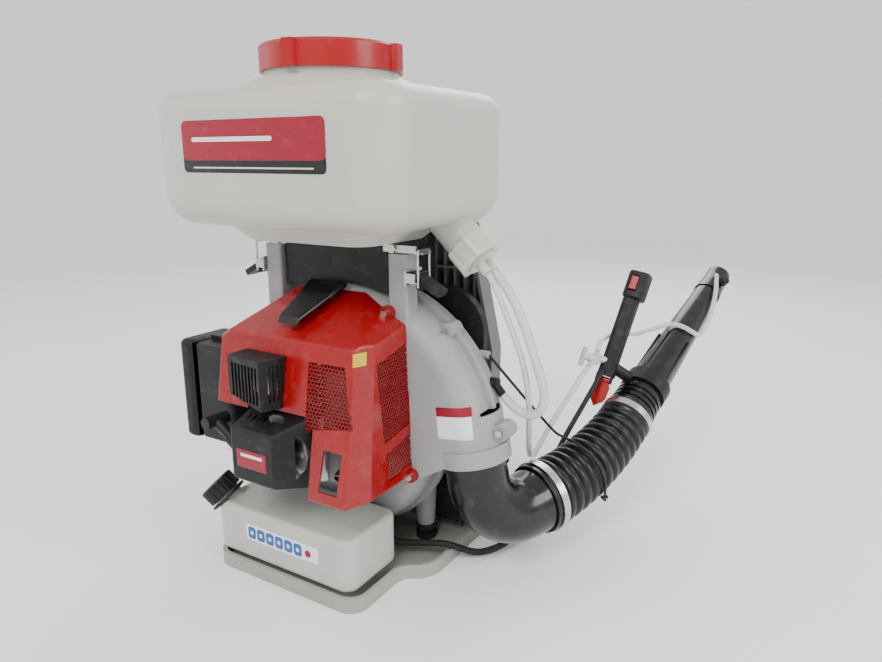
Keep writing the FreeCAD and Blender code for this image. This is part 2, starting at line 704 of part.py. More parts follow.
def fuel_cap():
    low, high = along(FUEL_NECK, FUEL_AXIS, 30), along(FUEL_NECK, FUEL_AXIS, 52)
    cap = rod(tuple(low), tuple(high), 25)
    top = [e for e in cap.Edges if (e.CenterOfMass - high).Length < 1]
    cap = cap.makeFillet(3, top)
    inside = rod(tuple(along(low, FUEL_AXIS, -1)), tuple(along(FUEL_NECK, FUEL_AXIS, 42.3)), 19.3)
    spin = Rotation(Z_AXIS, FUEL_AXIS)
    grips = []
    for step in range(18):
        turn = math.radians(20.0 * step)
        side = spin.multVec(Vector(math.cos(turn), math.sin(turn), 0)) * 26.2
        grips.append(rod(tuple(low + side - FUEL_AXIS), tuple(high + side + FUEL_AXIS), 2.4))
    cap = cap.cut(inside)
    for grip in grips:
        cap = cap.cut(grip)
    piece("fuel_cap", cap)


def cap_tether():
    """The flat ring under the cap with its strap down to the tank."""
    low, high = along(FUEL_NECK, FUEL_AXIS, 24), along(FUEL_NECK, FUEL_AXIS, 27)
    ring = rod(tuple(low), tuple(high), 27).cut(rod(tuple(along(low, FUEL_AXIS, -1)),
                                                    tuple(along(high, FUEL_AXIS, 1)), 19.3))
    piece("cap_tether", ring)


# ------------------------------------------------------------ chemical tank
NECK_MID = Vector(4, 0, 0)
SPOUT_AXIS = unit(0.722, 0, -0.692)
COLLAR = Vector(184, 45, 434)


def tank_form(inset):
    """The tank's outer form as overlapping solids, or its room when inset by the wall."""
    mid, half_x, half_y = size("tank_mid_x"), size("tank_width") / 2 - inset, size("tank_depth") / 2 - inset
    low, high = size("tank_low") + inset, size("tank_high") - inset
    solid = block((mid - half_x, -half_y, low), (mid + half_x, half_y, high))
    upright = [e for e in solid.Edges if e.BoundBox.ZLength > 1]
    solid = solid.makeFillet(size("tank_corner") - inset, upright)
    floor_edges = [e for e in solid.Edges if abs(e.CenterOfMass.z - low) < 1e-3]
    solid = solid.makeFillet(40 - inset, floor_edges)
    roof_edges = [e for e in solid.Edges if abs(e.CenterOfMass.z - high) < 1e-3]
    solid = solid.makeFillet(26 - inset, roof_edges)
    foot = []
    for level, wide, deep, corner in ((446 + inset, 100, 74, 30), (low + 8, 134, 99, 42)):
        wire = wire_of(rounded_rectangle(wide - inset, deep - inset, corner))
        wire.translate(Vector(mid, 0, level))
        foot.append(wire)
    shoulder_low = high - 1
    shoulder = Part.makeCone(122 - inset, 95 - inset, size("neck_low") - inset - shoulder_low,
                             NECK_MID + Vector(0, 0, shoulder_low))
    return [solid, Part.makeLoft(foot, True, True), shoulder]


def chemical_tank():
    wall = size("tank_wall")
    neck_low = size("neck_low") - 3
    neck = Part.makeCylinder(size("neck_r"), size("neck_high") - neck_low, NECK_MID + Vector(0, 0, neck_low))
    spout = rod(tuple(along(COLLAR, SPOUT_AXIS, -78)), tuple(along(COLLAR, SPOUT_AXIS, 4)), size("spout_r"))
    outer = fused(tank_form(0) + [neck, spout])
    room = fused(tank_form(wall))
    mouth = Part.makeCylinder(size("neck_r") - wall - 0.5, 60, NECK_MID + Vector(0, 0, 620))
    bore = rod(tuple(along(COLLAR, SPOUT_AXIS, -66)), tuple(along(COLLAR, SPOUT_AXIS, 14)),
               size("spout_r") - wall)
    piece("chemical_tank", largest(outer.cut(room).cut(mouth).cut(bore)))


def tank_lid():
    """Screw lid with a shallow dish and four grip lugs, turned about the neck."""
    body = new_body("LidBody")
    out_r, low, high = size("lid_r"), size("lid_low"), size("lid_high")
    inner, dish = size("neck_r") + 0.6, size("lid_dish")
    profile = [(0, high - 2), (dish, high - 2), (dish + 2, high), (out_r - 3, high), (out_r, high - 3),
               (out_r, low), (inner, low), (inner, high - 5), (0, high - 5)]
    sketch = sketch_on(body, "LidProfile", "XZ_Plane", [loop_through(profile)])
    revolve(body, "LidTurned", sketch)
    outlines = []
    for turn in range(4):
        spin = Rotation(Z_AXIS, 90 * turn + 8)
        corners = [Vector(out_r - 3, -9, 0), Vector(out_r + 6.5, -7, 0),
                   Vector(out_r + 6.5, 7, 0), Vector(out_r - 3, 9, 0)]
        outlines.append(loop_through([tuple(spin.multVec(c))[:2] for c in corners]))
    lugs = sketch_on(body, "LugOutline", "XY_Plane", outlines, "Sizes.lid_low")
    pad(body, "Lugs", lugs, "Sizes.lid_high - Sizes.lid_low - 1")
    doc.recompute()
    keep(body, "tank_lid", Placement(NECK_MID, Rotation()))


def tank_seat():
    """Black frame between the fan housing and the tank, and its rubber ring."""
    half, front, rear, high = size("seat_half"), -size("seat_front"), size("seat_rear"), size("seat_high")
    outer = soft_block((-half, front, size("seat_low")), (half, rear, high), 6)
    inner = block((-half + 3, front + 3, 300), (half - 3, rear - 3, high - 3))
    window = face_of(rounded_rectangle(70, 26, 12, (0, 34))).extrude(Vector(0, 0, 600))
    seat = outer.cut(inner).cut(window)
    seat = seat.cut(scroll_solid(0.4, -12, 86, 0)).cut(scroll_solid(7.4, PARTING - 4.4, PARTING + 4.4, 0))
    for px, pz, radius in FLANGE_BOLTS:
        seat = seat.cut(rod((px, PARTING - 20, pz), (px, PARTING + 20, pz), radius + 0.4))
    piece("tank_seat", largest(seat))
    ring = face_of(rounded_rectangle(86, 36, 20, (0, 34))).extrude(Vector(0, 0, 2))
    hole = face_of(rounded_rectangle(78, 28, 12, (0, 34))).extrude(Vector(0, 0, 2))
    gasket = ring.cut(hole)
    gasket.translate(Vector(0, 0, high))
    piece("seat_gasket", gasket)


# ------------------------------------------------------------ latches
LATCH_PIVOT = Vector(130, 3, 404)
LATCH_EYE = LATCH_PIVOT + Vector(6, 0, -10.4)
LATCH_TIP = LATCH_PIVOT + Vector(34, 0, -18)
LINK_TOP = 437.9


def latch_shapes(side):
    """Bracket, catch, lever and wire link of one toggle latch; side is 1 or -1."""
    hinge, eye, tip, mid_y = LATCH_PIVOT, LATCH_EYE, LATCH_TIP, LATCH_PIVOT.y
    pin_r, link_r, run = 2.5, 1.5, size("shaft_gap")
    plate = block((119, mid_y - 18, 394), (121.5, mid_y + 18, 414))
    ears = [block((119, low, 398), (134, low + 2, 410)) for low in (mid_y - 18, mid_y + 16)]
    pin = rod((hinge.x, mid_y - 18, hinge.z), (hinge.x, mid_y + 18, hinge.z), pin_r)
    bracket = fused([plate, pin] + ears)
    strip = block((82, -7, 434), (131, -4, 443))
    shelf = block((128, -7, 433.5), (141, 13, 435.9))
    nut = polygon_face([(97 + 6 * math.cos(math.radians(60 * k)), -11, 438.5 + 6 * math.sin(math.radians(60 * k)))
                        for k in range(6)]).extrude(Vector(0, 4, 0))
    catch = fused([strip, shelf, nut])
    bar = soft_block((0, -11, -4), ((tip - hinge).Length, 11, 4), 3)
    bar.Placement = Placement(hinge, Rotation(X_AXIS, tip - hinge))
    lever = fused([bar, rod((hinge.x, mid_y - 11, hinge.z), (hinge.x, mid_y + 11, hinge.z), 6),
                   rod((eye.x, mid_y - 11, eye.z), (eye.x, mid_y + 11, eye.z), 4.5)])
    lever = lever.cut(rod((hinge.x, -40, hinge.z), (hinge.x, 60, hinge.z), pin_r + run))
    lever = lever.cut(rod((eye.x, -40, eye.z), (eye.x, 60, eye.z), link_r + run))
    wires = []
    for level in (eye.z, LINK_TOP):
        wires.append(rod((eye.x, mid_y - 13, level), (eye.x, mid_y + 13, level), link_r))
    for leg in (mid_y - 13, mid_y + 13):
        wires.append(rod((eye.x, leg, eye.z), (eye.x, leg, LINK_TOP), link_r))
        for level in (eye.z, LINK_TOP):
            wires.append(Part.makeSphere(link_r, Vector(eye.x, leg, level)))
    shapes = [bracket, catch, lever, fused(wires)]
    if side < 0:
        shapes = [item.mirror(Vector(0, 0, 0), X_AXIS) for item in shapes]
    return shapes


def latches():
    brackets = []
    for side, word in ((-1, "left"), (1, "right")):
        bracket, catch, lever, link = latch_shapes(side)
        brackets += [bracket, catch]
        piece(f"latch_lever_{word}", lever)
        piece(f"latch_rod_{word}", link)
    piece("latch_brackets", Part.makeCompound(brackets))


# ------------------------------------------------------------ outlet fittings
def on_spout(distance, sideways=0.0):
    return along(COLLAR, SPOUT_AXIS, distance) + Vector(0, sideways, 0)


def spout_rod(first, last, radius, sideways=0.0):
    return rod(tuple(on_spout(first, sideways)), tuple(on_spout(last, sideways)), radius)


def outlet_fittings():
    """Lobed union nut on the spout and the white cap with its two hose tails."""
    spin = Rotation(Z_AXIS, SPOUT_AXIS)
    lobes = []
    for step in range(6):
        side = spin.multVec(Vector(math.cos(math.radians(60 * step)), math.sin(math.radians(60 * step)), 0)) * 26
        lobes.append(rod(tuple(on_spout(-14) + side), tuple(on_spout(14) + side), 6))
    nut = fused([spout_rod(-14, 14, 29)] + lobes)
    nut = nut.cut(spout_rod(-15, 10, size("spout_r") + 0.2)).cut(spout_rod(0, 16, 20))
    piece("outlet_collar", nut)
    tails = [spout_rod(9, 33, 6.5, -9), spout_rod(9, 33, 6.5, 9)]
    cap = fused([spout_rod(4.2, 9.8, 24.8), spout_rod(9, 18, 19.6)] + tails)
    cap = cap.cut(spout_rod(0, 40, 3, -9)).cut(spout_rod(0, 40, 3, 9))
    piece("outlet_nipples", cap)
    barb = fused([rod((200, 62, 262), (212, 62, 262), 8), rod((209, 62, 260), (219, 63, 248), 5.5)])
    piece("air_fitting", barb)


# ------------------------------------------------------------ air duct
def pipe_between(stations, across):
    """A smooth pipe through (centre, direction, radius) stations."""
    wires = []
    for centre, direction, radius in stations:
        wire = Part.Wire([Part.makeCircle(radius)])
        wire.Placement = Placement(centre, Rotation(across, direction.cross(across), direction, "ZXY"))
        wires.append(wire)
    return Part.makeLoft(wires, True, False)


def arc_stations(start, first, last, radius, count):
    """Evenly spaced places and directions along an arc between two directions."""
    angle = math.acos(first.dot(last))
    inward = (last - first * math.cos(angle)).normalize()
    centre = start + inward * radius
    stations = []
    for step in range(count):
        turn = angle * step / (count - 1)
        spot = centre + (first * math.sin(turn) - inward * math.cos(turn)) * radius
        stations.append((spot, first * math.cos(turn) + inward * math.sin(turn)))
    return stations


def pipe_pair(spots, radii, wall):
    """A hollow pipe with a constant wall and open ends."""
    across = spots[0][1].cross(spots[-1][1]).normalize()
    outer = pipe_between([(spot, way, radius) for (spot, way), radius in zip(spots, radii)], across)
    reach = list(spots)
    reach[0] = (spots[0][0] - spots[0][1], spots[0][1])
    reach[-1] = (spots[-1][0] + spots[-1][1], spots[-1][1])
    inner = pipe_between([(spot, way, radius - wall) for (spot, way), radius in zip(reach, radii)], across)
    return outer, inner


def elbow_pipe():
    spots = [(along(OUTLET, OUTLET_AXIS, distance), OUTLET_AXIS) for distance in (-4, 12, 28)]
    spots += arc_stations(ELBOW_BEND_START, OUTLET_AXIS, ELBOW_EXIT, size("elbow_bend"), 6)
    spots += [(along(ELBOW_BEND_END, ELBOW_EXIT, distance), ELBOW_EXIT) for distance in (18, 42)]
    small, large = size("elbow_small_r"), size("elbow_large_r")
    steady = [small, small, small + 0.2]
    growing = [small + 0.5 + (large - small - 1.4) * step / 5 for step in range(6)]
    outer, inner = pipe_pair(spots, steady + growing + [large - 0.3, large], size("elbow_wall"))
    collar = rod(tuple(along(OUTLET, OUTLET_AXIS, 14.6)), tuple(along(OUTLET, OUTLET_AXIS, 20)), 44.9)
    piece("elbow_pipe", largest(outer.fuse(collar).cut(inner)))


def bellows_hose():
    spots = [(along(HOSE_START, ELBOW_EXIT, -14), ELBOW_EXIT)]
    bend_radius = size("hose_length") / math.acos(ELBOW_EXIT.dot(WAND_AXIS))
    spots += arc_stations(HOSE_START, ELBOW_EXIT, WAND_AXIS, bend_radius, 8)
    spots += [(along(HOSE_END, WAND_AXIS, 14), WAND_AXIS)]
    large, small = size("hose_large_r"), size("hose_small_r")
    middle = [large - 0.2 - (large - small - 0.4) * step / 7 for step in range(8)]
    outer, inner = pipe_pair(spots, [large + 0.5] + middle + [small], size("hose_wall") + 0.2)
    piece("bellows_hose", largest(outer.cut(inner)))


def hose_clamp(label, centre, axis, radius):
    """A steel band clamp with its worm screw on the underside."""
    band = rod(tuple(along(centre, axis, -5.5)), tuple(along(centre, axis, 5.5)), radius + 1.7)
    band = band.cut(rod(tuple(along(centre, axis, -7)), tuple(along(centre, axis, 7)), radius))
    below = (axis * axis.z - Z_AXIS).normalize()
    line = axis.cross(below).normalize()
    spot = centre + below * (radius + 5)
    worm = rod(tuple(spot - line * 9), tuple(spot + line * 9), 4.4)
    head = rod(tuple(spot + line * 9), tuple(spot + line * 14), 5)
    clear = rod(tuple(along(centre, axis, -20)), tuple(along(centre, axis, 20)), radius)
    piece(label, fused([band, worm, head]).cut(clear))


# ------------------------------------------------------------ wand
WAND_SIDE = WAND_AXIS.cross(Z_AXIS).normalize()
WAND_UP = WAND_SIDE.cross(WAND_AXIS).normalize()


def on_wand(distance, angle=0.0, reach=0.0):
    """A point by the wand: along it, round it and out from its axis."""
    turn = math.radians(angle)
    outward = WAND_SIDE * math.cos(turn) + WAND_UP * math.sin(turn)
    return along(WAND_BASE, WAND_AXIS, distance) + outward * reach


def wand_rod(first, last, radius):
    return rod(tuple(on_wand(first)), tuple(on_wand(last)), radius)


def wand_taper(first, last, first_r, last_r):
    return taper(tuple(on_wand(first)), tuple(on_wand(last)), first_r, last_r)


def tube_radius(distance):
    """Outer radius of the blow tube at a distance from the hose's end."""
    base, end = size("tube_base_r"), size("tube_end_r")
    return base - (base - end) * (distance + 6) / size("tube_length")


TUBE_END = size("tube_length") - 6


def blow_tube():
    wall = size("tube_wall")
    parts = [wand_taper(-6, TUBE_END, size("tube_base_r"), size("tube_end_r")),
             wand_taper(14.6, 50, tube_radius(14.6) + 1.5, tube_radius(50) + 1.5)]
    for distance in (17, 27, 37, 47):
        parts.append(wand_rod(distance - 2.4, distance + 2.5, tube_radius(distance) + 3.5))
    for angle in (20, 60, 100, 140):
        radial = (on_wand(0, angle, 1) - on_wand(0)).normalize()
        rib = block((0, -1.5, -47), (tube_radius(143) + 2, 1.5, 47))
        tangent = WAND_AXIS.cross(radial)
        rib.Placement = Placement(on_wand(143), Rotation(radial, tangent, WAND_AXIS, "ZXY"))
        parts.append(rib)
    bore = wand_taper(-8, TUBE_END + 2, size("tube_base_r") - wall, size("tube_end_r") - wall)
    piece("blow_tube", largest(fused(parts).cut(bore)))


def nozzle_parts():
    """Nozzle mouth at the end of the tube, with the liquid inlet and dial."""
    mouth_r = 20.5
    boss = rod(tuple(on_wand(362, 35, 15)), tuple(on_wand(362, 35, 27)), 9.5)
    inlet = rod(tuple(on_wand(376, 70, 18)), tuple(on_wand(366, 66, 28)), 4.2)
    body = fused([wand_taper(TUBE_END, 382, 24, mouth_r), wand_rod(382, 400, mouth_r), boss, inlet])
    body = body.cut(wand_taper(TUBE_END - 1, 401, 20, mouth_r - 3))
    dial_hole = rod(tuple(on_wand(362, 35, 19)), tuple(on_wand(362, 35, 60)), 3)
    piece("nozzle", largest(body.cut(dial_hole)))
    run = size("shaft_gap")
    knob = fused([rod(tuple(on_wand(362, 35, 27.3)), tuple(on_wand(362, 35, 36)), 8),
                  rod(tuple(on_wand(362, 35, 22)), tuple(on_wand(362, 35, 30)), 3 - run)])
    radial = (on_wand(0, 35, 1) - on_wand(0)).normalize()
    tangent = WAND_AXIS.cross(radial)
    for step in range(8):
        turn = math.radians(45.0 * step)
        side = (tangent * math.cos(turn) + WAND_AXIS * math.sin(turn)) * 8.8
        knob = knob.cut(rod(tuple(on_wand(362, 35, 27) + side), tuple(on_wand(362, 35, 37) + side), 1.6))
    piece("dose_dial", knob)


# ------------------------------------------------------------ control handle
GRIP_SIDE = GRIP_AXIS.cross(Vector(0, -1, 0)).normalize()
GRIP_BACK = GRIP_AXIS.cross(GRIP_SIDE).normalize()
GRIP_PLACE = Placement(GRIP_FOOT, Rotation(GRIP_SIDE, GRIP_BACK, GRIP_AXIS, "ZXY"))


def in_grip(shape):
    """Moves a shape drawn in the grip's own frame to its place."""
    shape.Placement = GRIP_PLACE
    return shape


def grip_pin(half_low, half_high, y_level, z_level, radius):
    return in_grip(rod((half_low, y_level, z_level), (half_high, y_level, z_level), radius).copy())


def placed(shape):
    """Same as in_grip for shapes that already carry a placement of their own."""
    shape.Placement = GRIP_PLACE.multiply(shape.Placement)
    return shape


def control_grip():
    stem = soft_block((-12.5, -14, -8), (12.5, 14, 116), 8)
    head = soft_block((-15, -17, 110), (19, 17, 156), 9, 5)
    foot = soft_block((-13, -13, -19), (13, 13, -2), 6)
    ears = [block((low, -11, -30), (low + 2.6, -1, -16)) for low in (-13, 10.4)]
    solid = fused([stem, head, foot] + ears)
    solid = solid.cut(block((-7.2, -18, 122), (5.2, -8, 148)))
    pins = [rod((-12, -6, -25), (12, -6, -25), 2), rod((-10, -12, 135), (8, -12, 135), 1.5)]
    return fused([solid] + pins)


def handle_parts():
    ring = wand_rod(62, 88, 37)
    arm = rod(tuple(on_wand(75)), tuple(GRIP_FOOT), 9.5)
    tube = wand_taper(-6, TUBE_END, size("tube_base_r") + 0.1, size("tube_end_r") + 0.1)
    grip = placed(control_grip())
    bracket = fused([ring, arm]).cut(tube).cut(grip)
    piece("handle_bracket", largest(bracket))
    piece("control_grip", grip)
    run = size("shaft_gap")
    rocker = block((-6.6, -20, 124), (4.6, -10.2, 146))
    rocker = rocker.makeFillet(1.5, [e for e in rocker.Edges if e.CenterOfMass.y < -19])
    rocker = rocker.cut(rod((-20, -12, 135), (20, -12, 135), 1.5 + run))
    piece("stop_switch", placed(rocker))
    outline = [(-9, -28), (9, -28), (13, -36), (12, -58), (-2, -70), (-13, -56), (-12, -36)]
    paddle = polygon_face([(px, -9, pz) for px, pz in outline]).extrude(Vector(0, 6, 0))
    hub = rod((-9.8, -6, -25), (9.8, -6, -25), 5)
    lever = fused([paddle, hub]).cut(rod((-20, -6, -25), (20, -6, -25), 2 + run))
    lever = placed(lever)
    pivot = GRIP_PLACE.multVec(Vector(0, -6, -25))
    for angle in range(0, 19, 2):
        band = rod(tuple(on_wand(-3.6)), tuple(on_wand(9.6)), 42.2)
        band.rotate(pivot, GRIP_SIDE, -angle)
        lever = lever.cut(band)
    piece("throttle_lever", largest(lever))


VALVE = Vector(255, 321, 238)
VALVE_TURN = unit(-0.72, -0.64, 0.27)
VALVE_LOWER = Vector(250, 303, 230)
VALVE_UPPER = Vector(257, 323, 251)


def valve_rod(first, last, radius):
    return rod(tuple(along(VALVE, VALVE_TURN, first)), tuple(along(VALVE, VALVE_TURN, last)), radius)


def liquid_valve():
    """White cock on the handle, with its T-shaped tap."""
    body = fused([rod(tuple(along(VALVE, GRIP_AXIS, -9)), tuple(along(VALVE, GRIP_AXIS, 9)), 7),
                  rod(tuple(VALVE), (268, 333, 236), 5), rod(tuple(VALVE), tuple(VALVE_LOWER), 4.2),
                  rod(tuple(VALVE), tuple(VALVE_UPPER), 4.2), valve_rod(0, 13, 6.5)])
    body = body.cut(valve_rod(3, 30, 3)).cut(placed(control_grip()))
    piece("valve_body", largest(body))
    tee = along(VALVE, VALVE_TURN, 22)
    bar = (Z_AXIS - VALVE_TURN * VALVE_TURN.z).normalize()
    tap = fused([valve_rod(4, 24, 3 - size("shaft_gap")), valve_rod(13.4, 22, 5.5),
                 rod(tuple(tee - bar * 15), tuple(tee + bar * 15), 4.3)])
    piece("valve_handle", tap)


def body_screws():
    """Flange bolts of the fan housing and the two screws of the engine cover."""
    parts = []
    for px, pz, radius in FLANGE_BOLTS:
        parts.append(fused([rod((px, PARTING - 19, pz), (px, PARTING - 14, pz), 4.5),
                            rod((px, PARTING - 15, pz), (px, PARTING + 14, pz), 2.5)]))
    for px, front, pz in ((92, -19, 357), (126, -18, 142)):
        parts.append(fused([rod((px, front - 4, pz), (px, front, pz), 4.5),
                            rod((px, front - 1, pz), (px, -10.2, pz), 2.5)]))
    piece("body_screws", Part.makeCompound(parts))


# ------------------------------------------------------------ cords and hoses
def cord_solid(label, diameter, route):
    """Straight runs joined by tangent arcs, swept with a round section."""
    spots = [Vector(*item) for item in route]
    edges, radii = [], []
    cursor = spots[0]
    for before, corner, after in zip(spots, spots[1:], spots[2:]):
        into, out = corner - before, after - corner
        reach = 0.45 * min(into.Length, out.Length)
        into.normalize()
        out.normalize()
        half_turn = math.acos(max(-1.0, min(1.0, into.dot(out)))) / 2
        radius = reach / math.tan(half_turn)
        radii.append(round(radius))
        begin, finish = corner - into * reach, corner + out * reach
        toward = (out - into).normalize()
        middle = corner + toward * (radius / math.cos(half_turn) - radius)
        edges.append(Part.LineSegment(cursor, begin).toShape())
        edges.append(Part.Arc(begin, middle, finish).toShape())
        cursor = finish
    edges.append(Part.LineSegment(cursor, spots[-1]).toShape())
    path = Part.Wire(edges)
    section = Part.Wire(Part.makeCircle(diameter / 2, spots[0], spots[1] - spots[0]))
    tube = path.makePipeShell([section], True, False)
    expected = math.pi * diameter ** 2 / 4 * path.Length
    print(f"{label}: length {path.Length:.0f}, smallest radius {min(radii)}, "
          f"volume ratio {tube.Volume / expected:.3f}, radii {radii}")
    assert abs(tube.Volume / expected - 1) < 0.02
    assert min(radii) >= 1.4 * diameter
    piece(label, tube)


def wand_route():
    """The end of the liquid line, laid along the wand's upper side."""
    spots = [(172, 136, 26), (186, 134, 16), (199, 115, 10), (205, 92, 6.5), (206, 62, 6.5), (209, 32, 6.5),
             (220, 4, 6.5), (240, -6, 6.5), (270, 2, 6.5), (300, 18, 6.5), (328, 36, 6.5), (350, 54, 6.5)]
    route = [tuple(on_wand(distance, angle, tube_radius(distance) + gap)) for distance, angle, gap in spots]
    return route + [tuple(on_wand(366, 66, 28))]


def cords():
    cord_solid("air_tube", size("air_line"), [
        (207.8, 54, 411.2), (225, 55, 392), (240, 57, 366), (254, 59, 332), (266, 61, 297), (276, 62, 268),
        (277, 64, 244), (266, 65, 228), (248, 66, 226), (232, 65, 234), (219, 63, 248)])
    cord_solid("liquid_tube_lower", size("liquid_line"), [
        (207.8, 36, 411.2), (221, 38, 390), (231, 44, 358), (243, 52, 322), (250, 62, 286), (250, 76, 246),
        (244, 94, 208), (234, 116, 172), (225, 140, 142), (215, 166, 122), (211, 190, 114)])
    cord_solid("liquid_tube_upper", size("liquid_line"), [
        (211, 190, 114), (210, 206, 118), (214, 218, 132), (220, 228, 150), (229, 242, 171), (237, 258, 192),
        (243, 274, 209), (247, 290, 222), (250, 303, 230)])
    cord_solid("liquid_tube_nozzle", size("liquid_line"), [
        (257, 323, 251), (255, 333, 260), (258, 349, 266), (261, 370, 268), (274, 393, 266), (285, 416, 262),
        (292, 441, 260)] + wand_route())
    cord_solid("cable_conduit_lower", size("conduit"), [
        (30, -34, 141.8), (33, -28, 124), (40, -17, 106), (52, -16.5, 86), (66, -16.5, 64), (76, -15, 42),
        (92, -2, 28), (108, 14, 24), (132, 20, 28), (155, 30, 29), (173, 44, 18), (188, 62, 8), (201, 88, 6),
        (209, 118, 7), (213, 146, 14), (216, 170, 30), (217, 190, 52)])
    cord_solid("cable_conduit_upper", size("cable"), [
        (217, 190, 52), (219, 204, 72), (226, 214, 94), (236, 224, 114), (243, 240, 138), (250, 260, 160),
        (256, 280, 180), (262, 303, 201), (267, 323.6, 220.3)])
    cord_solid("suspension_cord", size("strap_cord"), [
        (193, 73, 295), (242, 179, 163), (256, 190, 152), (282, 181.5, 151.2), (313.6, 176.3, 133.8),
        (328.3, 181.3, 101), (321.8, 192.2, 71.7)])


# ------------------------------------------------------------ building everything
base_tray()
back_frame()
carrying_harness()
rubber_mounts()
fan_housing()
intake_guard()
impeller()
crankshaft()
flywheel()
crankcase()
cylinder_head()
spark_plug()
muffler()
carburettor()
air_filter()
engine_cover()
muffler_guard()
plug_cover()
starter()
fuel_tank()
fuel_cap()
cap_tether()
chemical_tank()
tank_lid()
tank_seat()
latches()
outlet_fittings()
elbow_pipe()
bellows_hose()
hose_clamp("hose_clamp_inner", HOSE_START, ELBOW_EXIT, 49.8)
hose_clamp("hose_clamp_outer", along(HOSE_END, WAND_AXIS, 3), WAND_AXIS, 39.6)
blow_tube()
nozzle_parts()
handle_parts()
liquid_valve()
body_screws()
cords()


def seat(label, *others):
    """Cuts away what a piece shares with its neighbours, so that they meet face to face."""
    item = next(entry for entry in SUBPARTS if entry.Label == label)
    shape = item.Shape
    for other in others:
        shape = shape.cut(next(entry for entry in SUBPARTS if entry.Label == other).Shape)
    if len(item.Shape.Solids) == 1:
        shape = largest(shape)
    print(f"seat {label}: solids {len(item.Shape.Solids)} to {len(shape.Solids)}, "
          f"volume {item.Shape.Volume:.0f} to {shape.Volume:.0f}")
    item.Shape = shape


def trim_start(label, diameter, start, direction, gap):
    """Takes the first fraction of a tube away, square to the tube that it meets."""
    way = unit(*direction)
    item = next(entry for entry in SUBPARTS if entry.Label == label)
    cutter = rod(along(Vector(*start), way, -diameter), along(Vector(*start), way, gap), diameter)
    item.Shape = largest(item.Shape.cut(cutter))


seat("crankcase", "cylinder", "cable_conduit_lower")
seat("muffler", "crankcase")
seat("fan_housing_front", "cylinder", "body_screws")
seat("fan_housing_rear", "body_screws", "air_fitting")
seat("intake_guard", "fan_housing_rear")
seat("rubber_mounts", "fan_housing_front", "fan_housing_rear", "body_screws")
seat("engine_cover", "body_screws")
seat("fuel_tank", "cap_tether")
seat("bellows_hose", "elbow_pipe")
seat("air_fitting", "air_tube")
seat("outlet_nipples", "air_tube", "liquid_tube_lower")
seat("control_grip", "cable_conduit_upper")
seat("handle_bracket", "control_grip")
seat("nozzle", "liquid_tube_nozzle")
seat("valve_body", "liquid_tube_nozzle", "liquid_tube_upper")
seat("flywheel", "crankshaft")
trim_start("liquid_tube_upper", 8, (211, 190, 114), (-4, 24, -8), 0.5)
trim_start("cable_conduit_upper", 8, (217, 190, 52), (1, 20, 22), 0.5)
doc.recompute()

for item in doc.Objects:
    faults = [state for state in item.State if state in ("Invalid", "Error")]
    assert not faults, f"{item.Label}: {faults}"

os.makedirs("parts", exist_ok=True)
for item in SUBPARTS:
    assert not item.Shape.isNull(), item.Label
    if not item.Shape.isValid():
        print(f"NOT VALID {item.Label}")
    item.Shape.exportStep(f"parts/{item.Label}.step")
    box = item.Shape.BoundBox
    print(f"{item.Label}: solids {len(item.Shape.Solids)} volume {item.Shape.Volume / 1000:.1f} cm3 "
          f"x {box.XMin:.0f}..{box.XMax:.0f} y {box.YMin:.0f}..{box.YMax:.0f} z {box.ZMin:.0f}..{box.ZMax:.0f}")
print(len(SUBPARTS), "sub-parts")
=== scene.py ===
"""Looks of the knapsack mist blower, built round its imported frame. Lengths are in metres."""
import math

import bmesh
import bpy
from mathutils import Matrix, Vector
from mathutils.bvhtree import BVHTree


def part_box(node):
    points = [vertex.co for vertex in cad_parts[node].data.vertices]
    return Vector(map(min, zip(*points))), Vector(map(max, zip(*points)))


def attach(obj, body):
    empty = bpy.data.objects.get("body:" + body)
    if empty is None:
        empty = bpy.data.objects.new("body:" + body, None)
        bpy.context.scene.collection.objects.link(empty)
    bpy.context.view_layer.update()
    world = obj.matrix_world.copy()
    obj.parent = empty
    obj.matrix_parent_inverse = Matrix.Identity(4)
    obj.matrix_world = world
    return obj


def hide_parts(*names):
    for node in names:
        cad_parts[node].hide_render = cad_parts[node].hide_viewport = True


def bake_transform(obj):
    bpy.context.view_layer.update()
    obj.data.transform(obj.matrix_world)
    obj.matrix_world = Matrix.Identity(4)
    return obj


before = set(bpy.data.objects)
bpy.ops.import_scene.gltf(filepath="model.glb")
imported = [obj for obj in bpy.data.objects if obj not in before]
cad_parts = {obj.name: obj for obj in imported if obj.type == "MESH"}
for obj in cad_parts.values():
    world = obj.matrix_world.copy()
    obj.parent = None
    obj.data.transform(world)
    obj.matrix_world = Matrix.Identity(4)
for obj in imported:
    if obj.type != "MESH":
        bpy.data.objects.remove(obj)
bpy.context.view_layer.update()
MM = 0.001
scene = bpy.context.scene


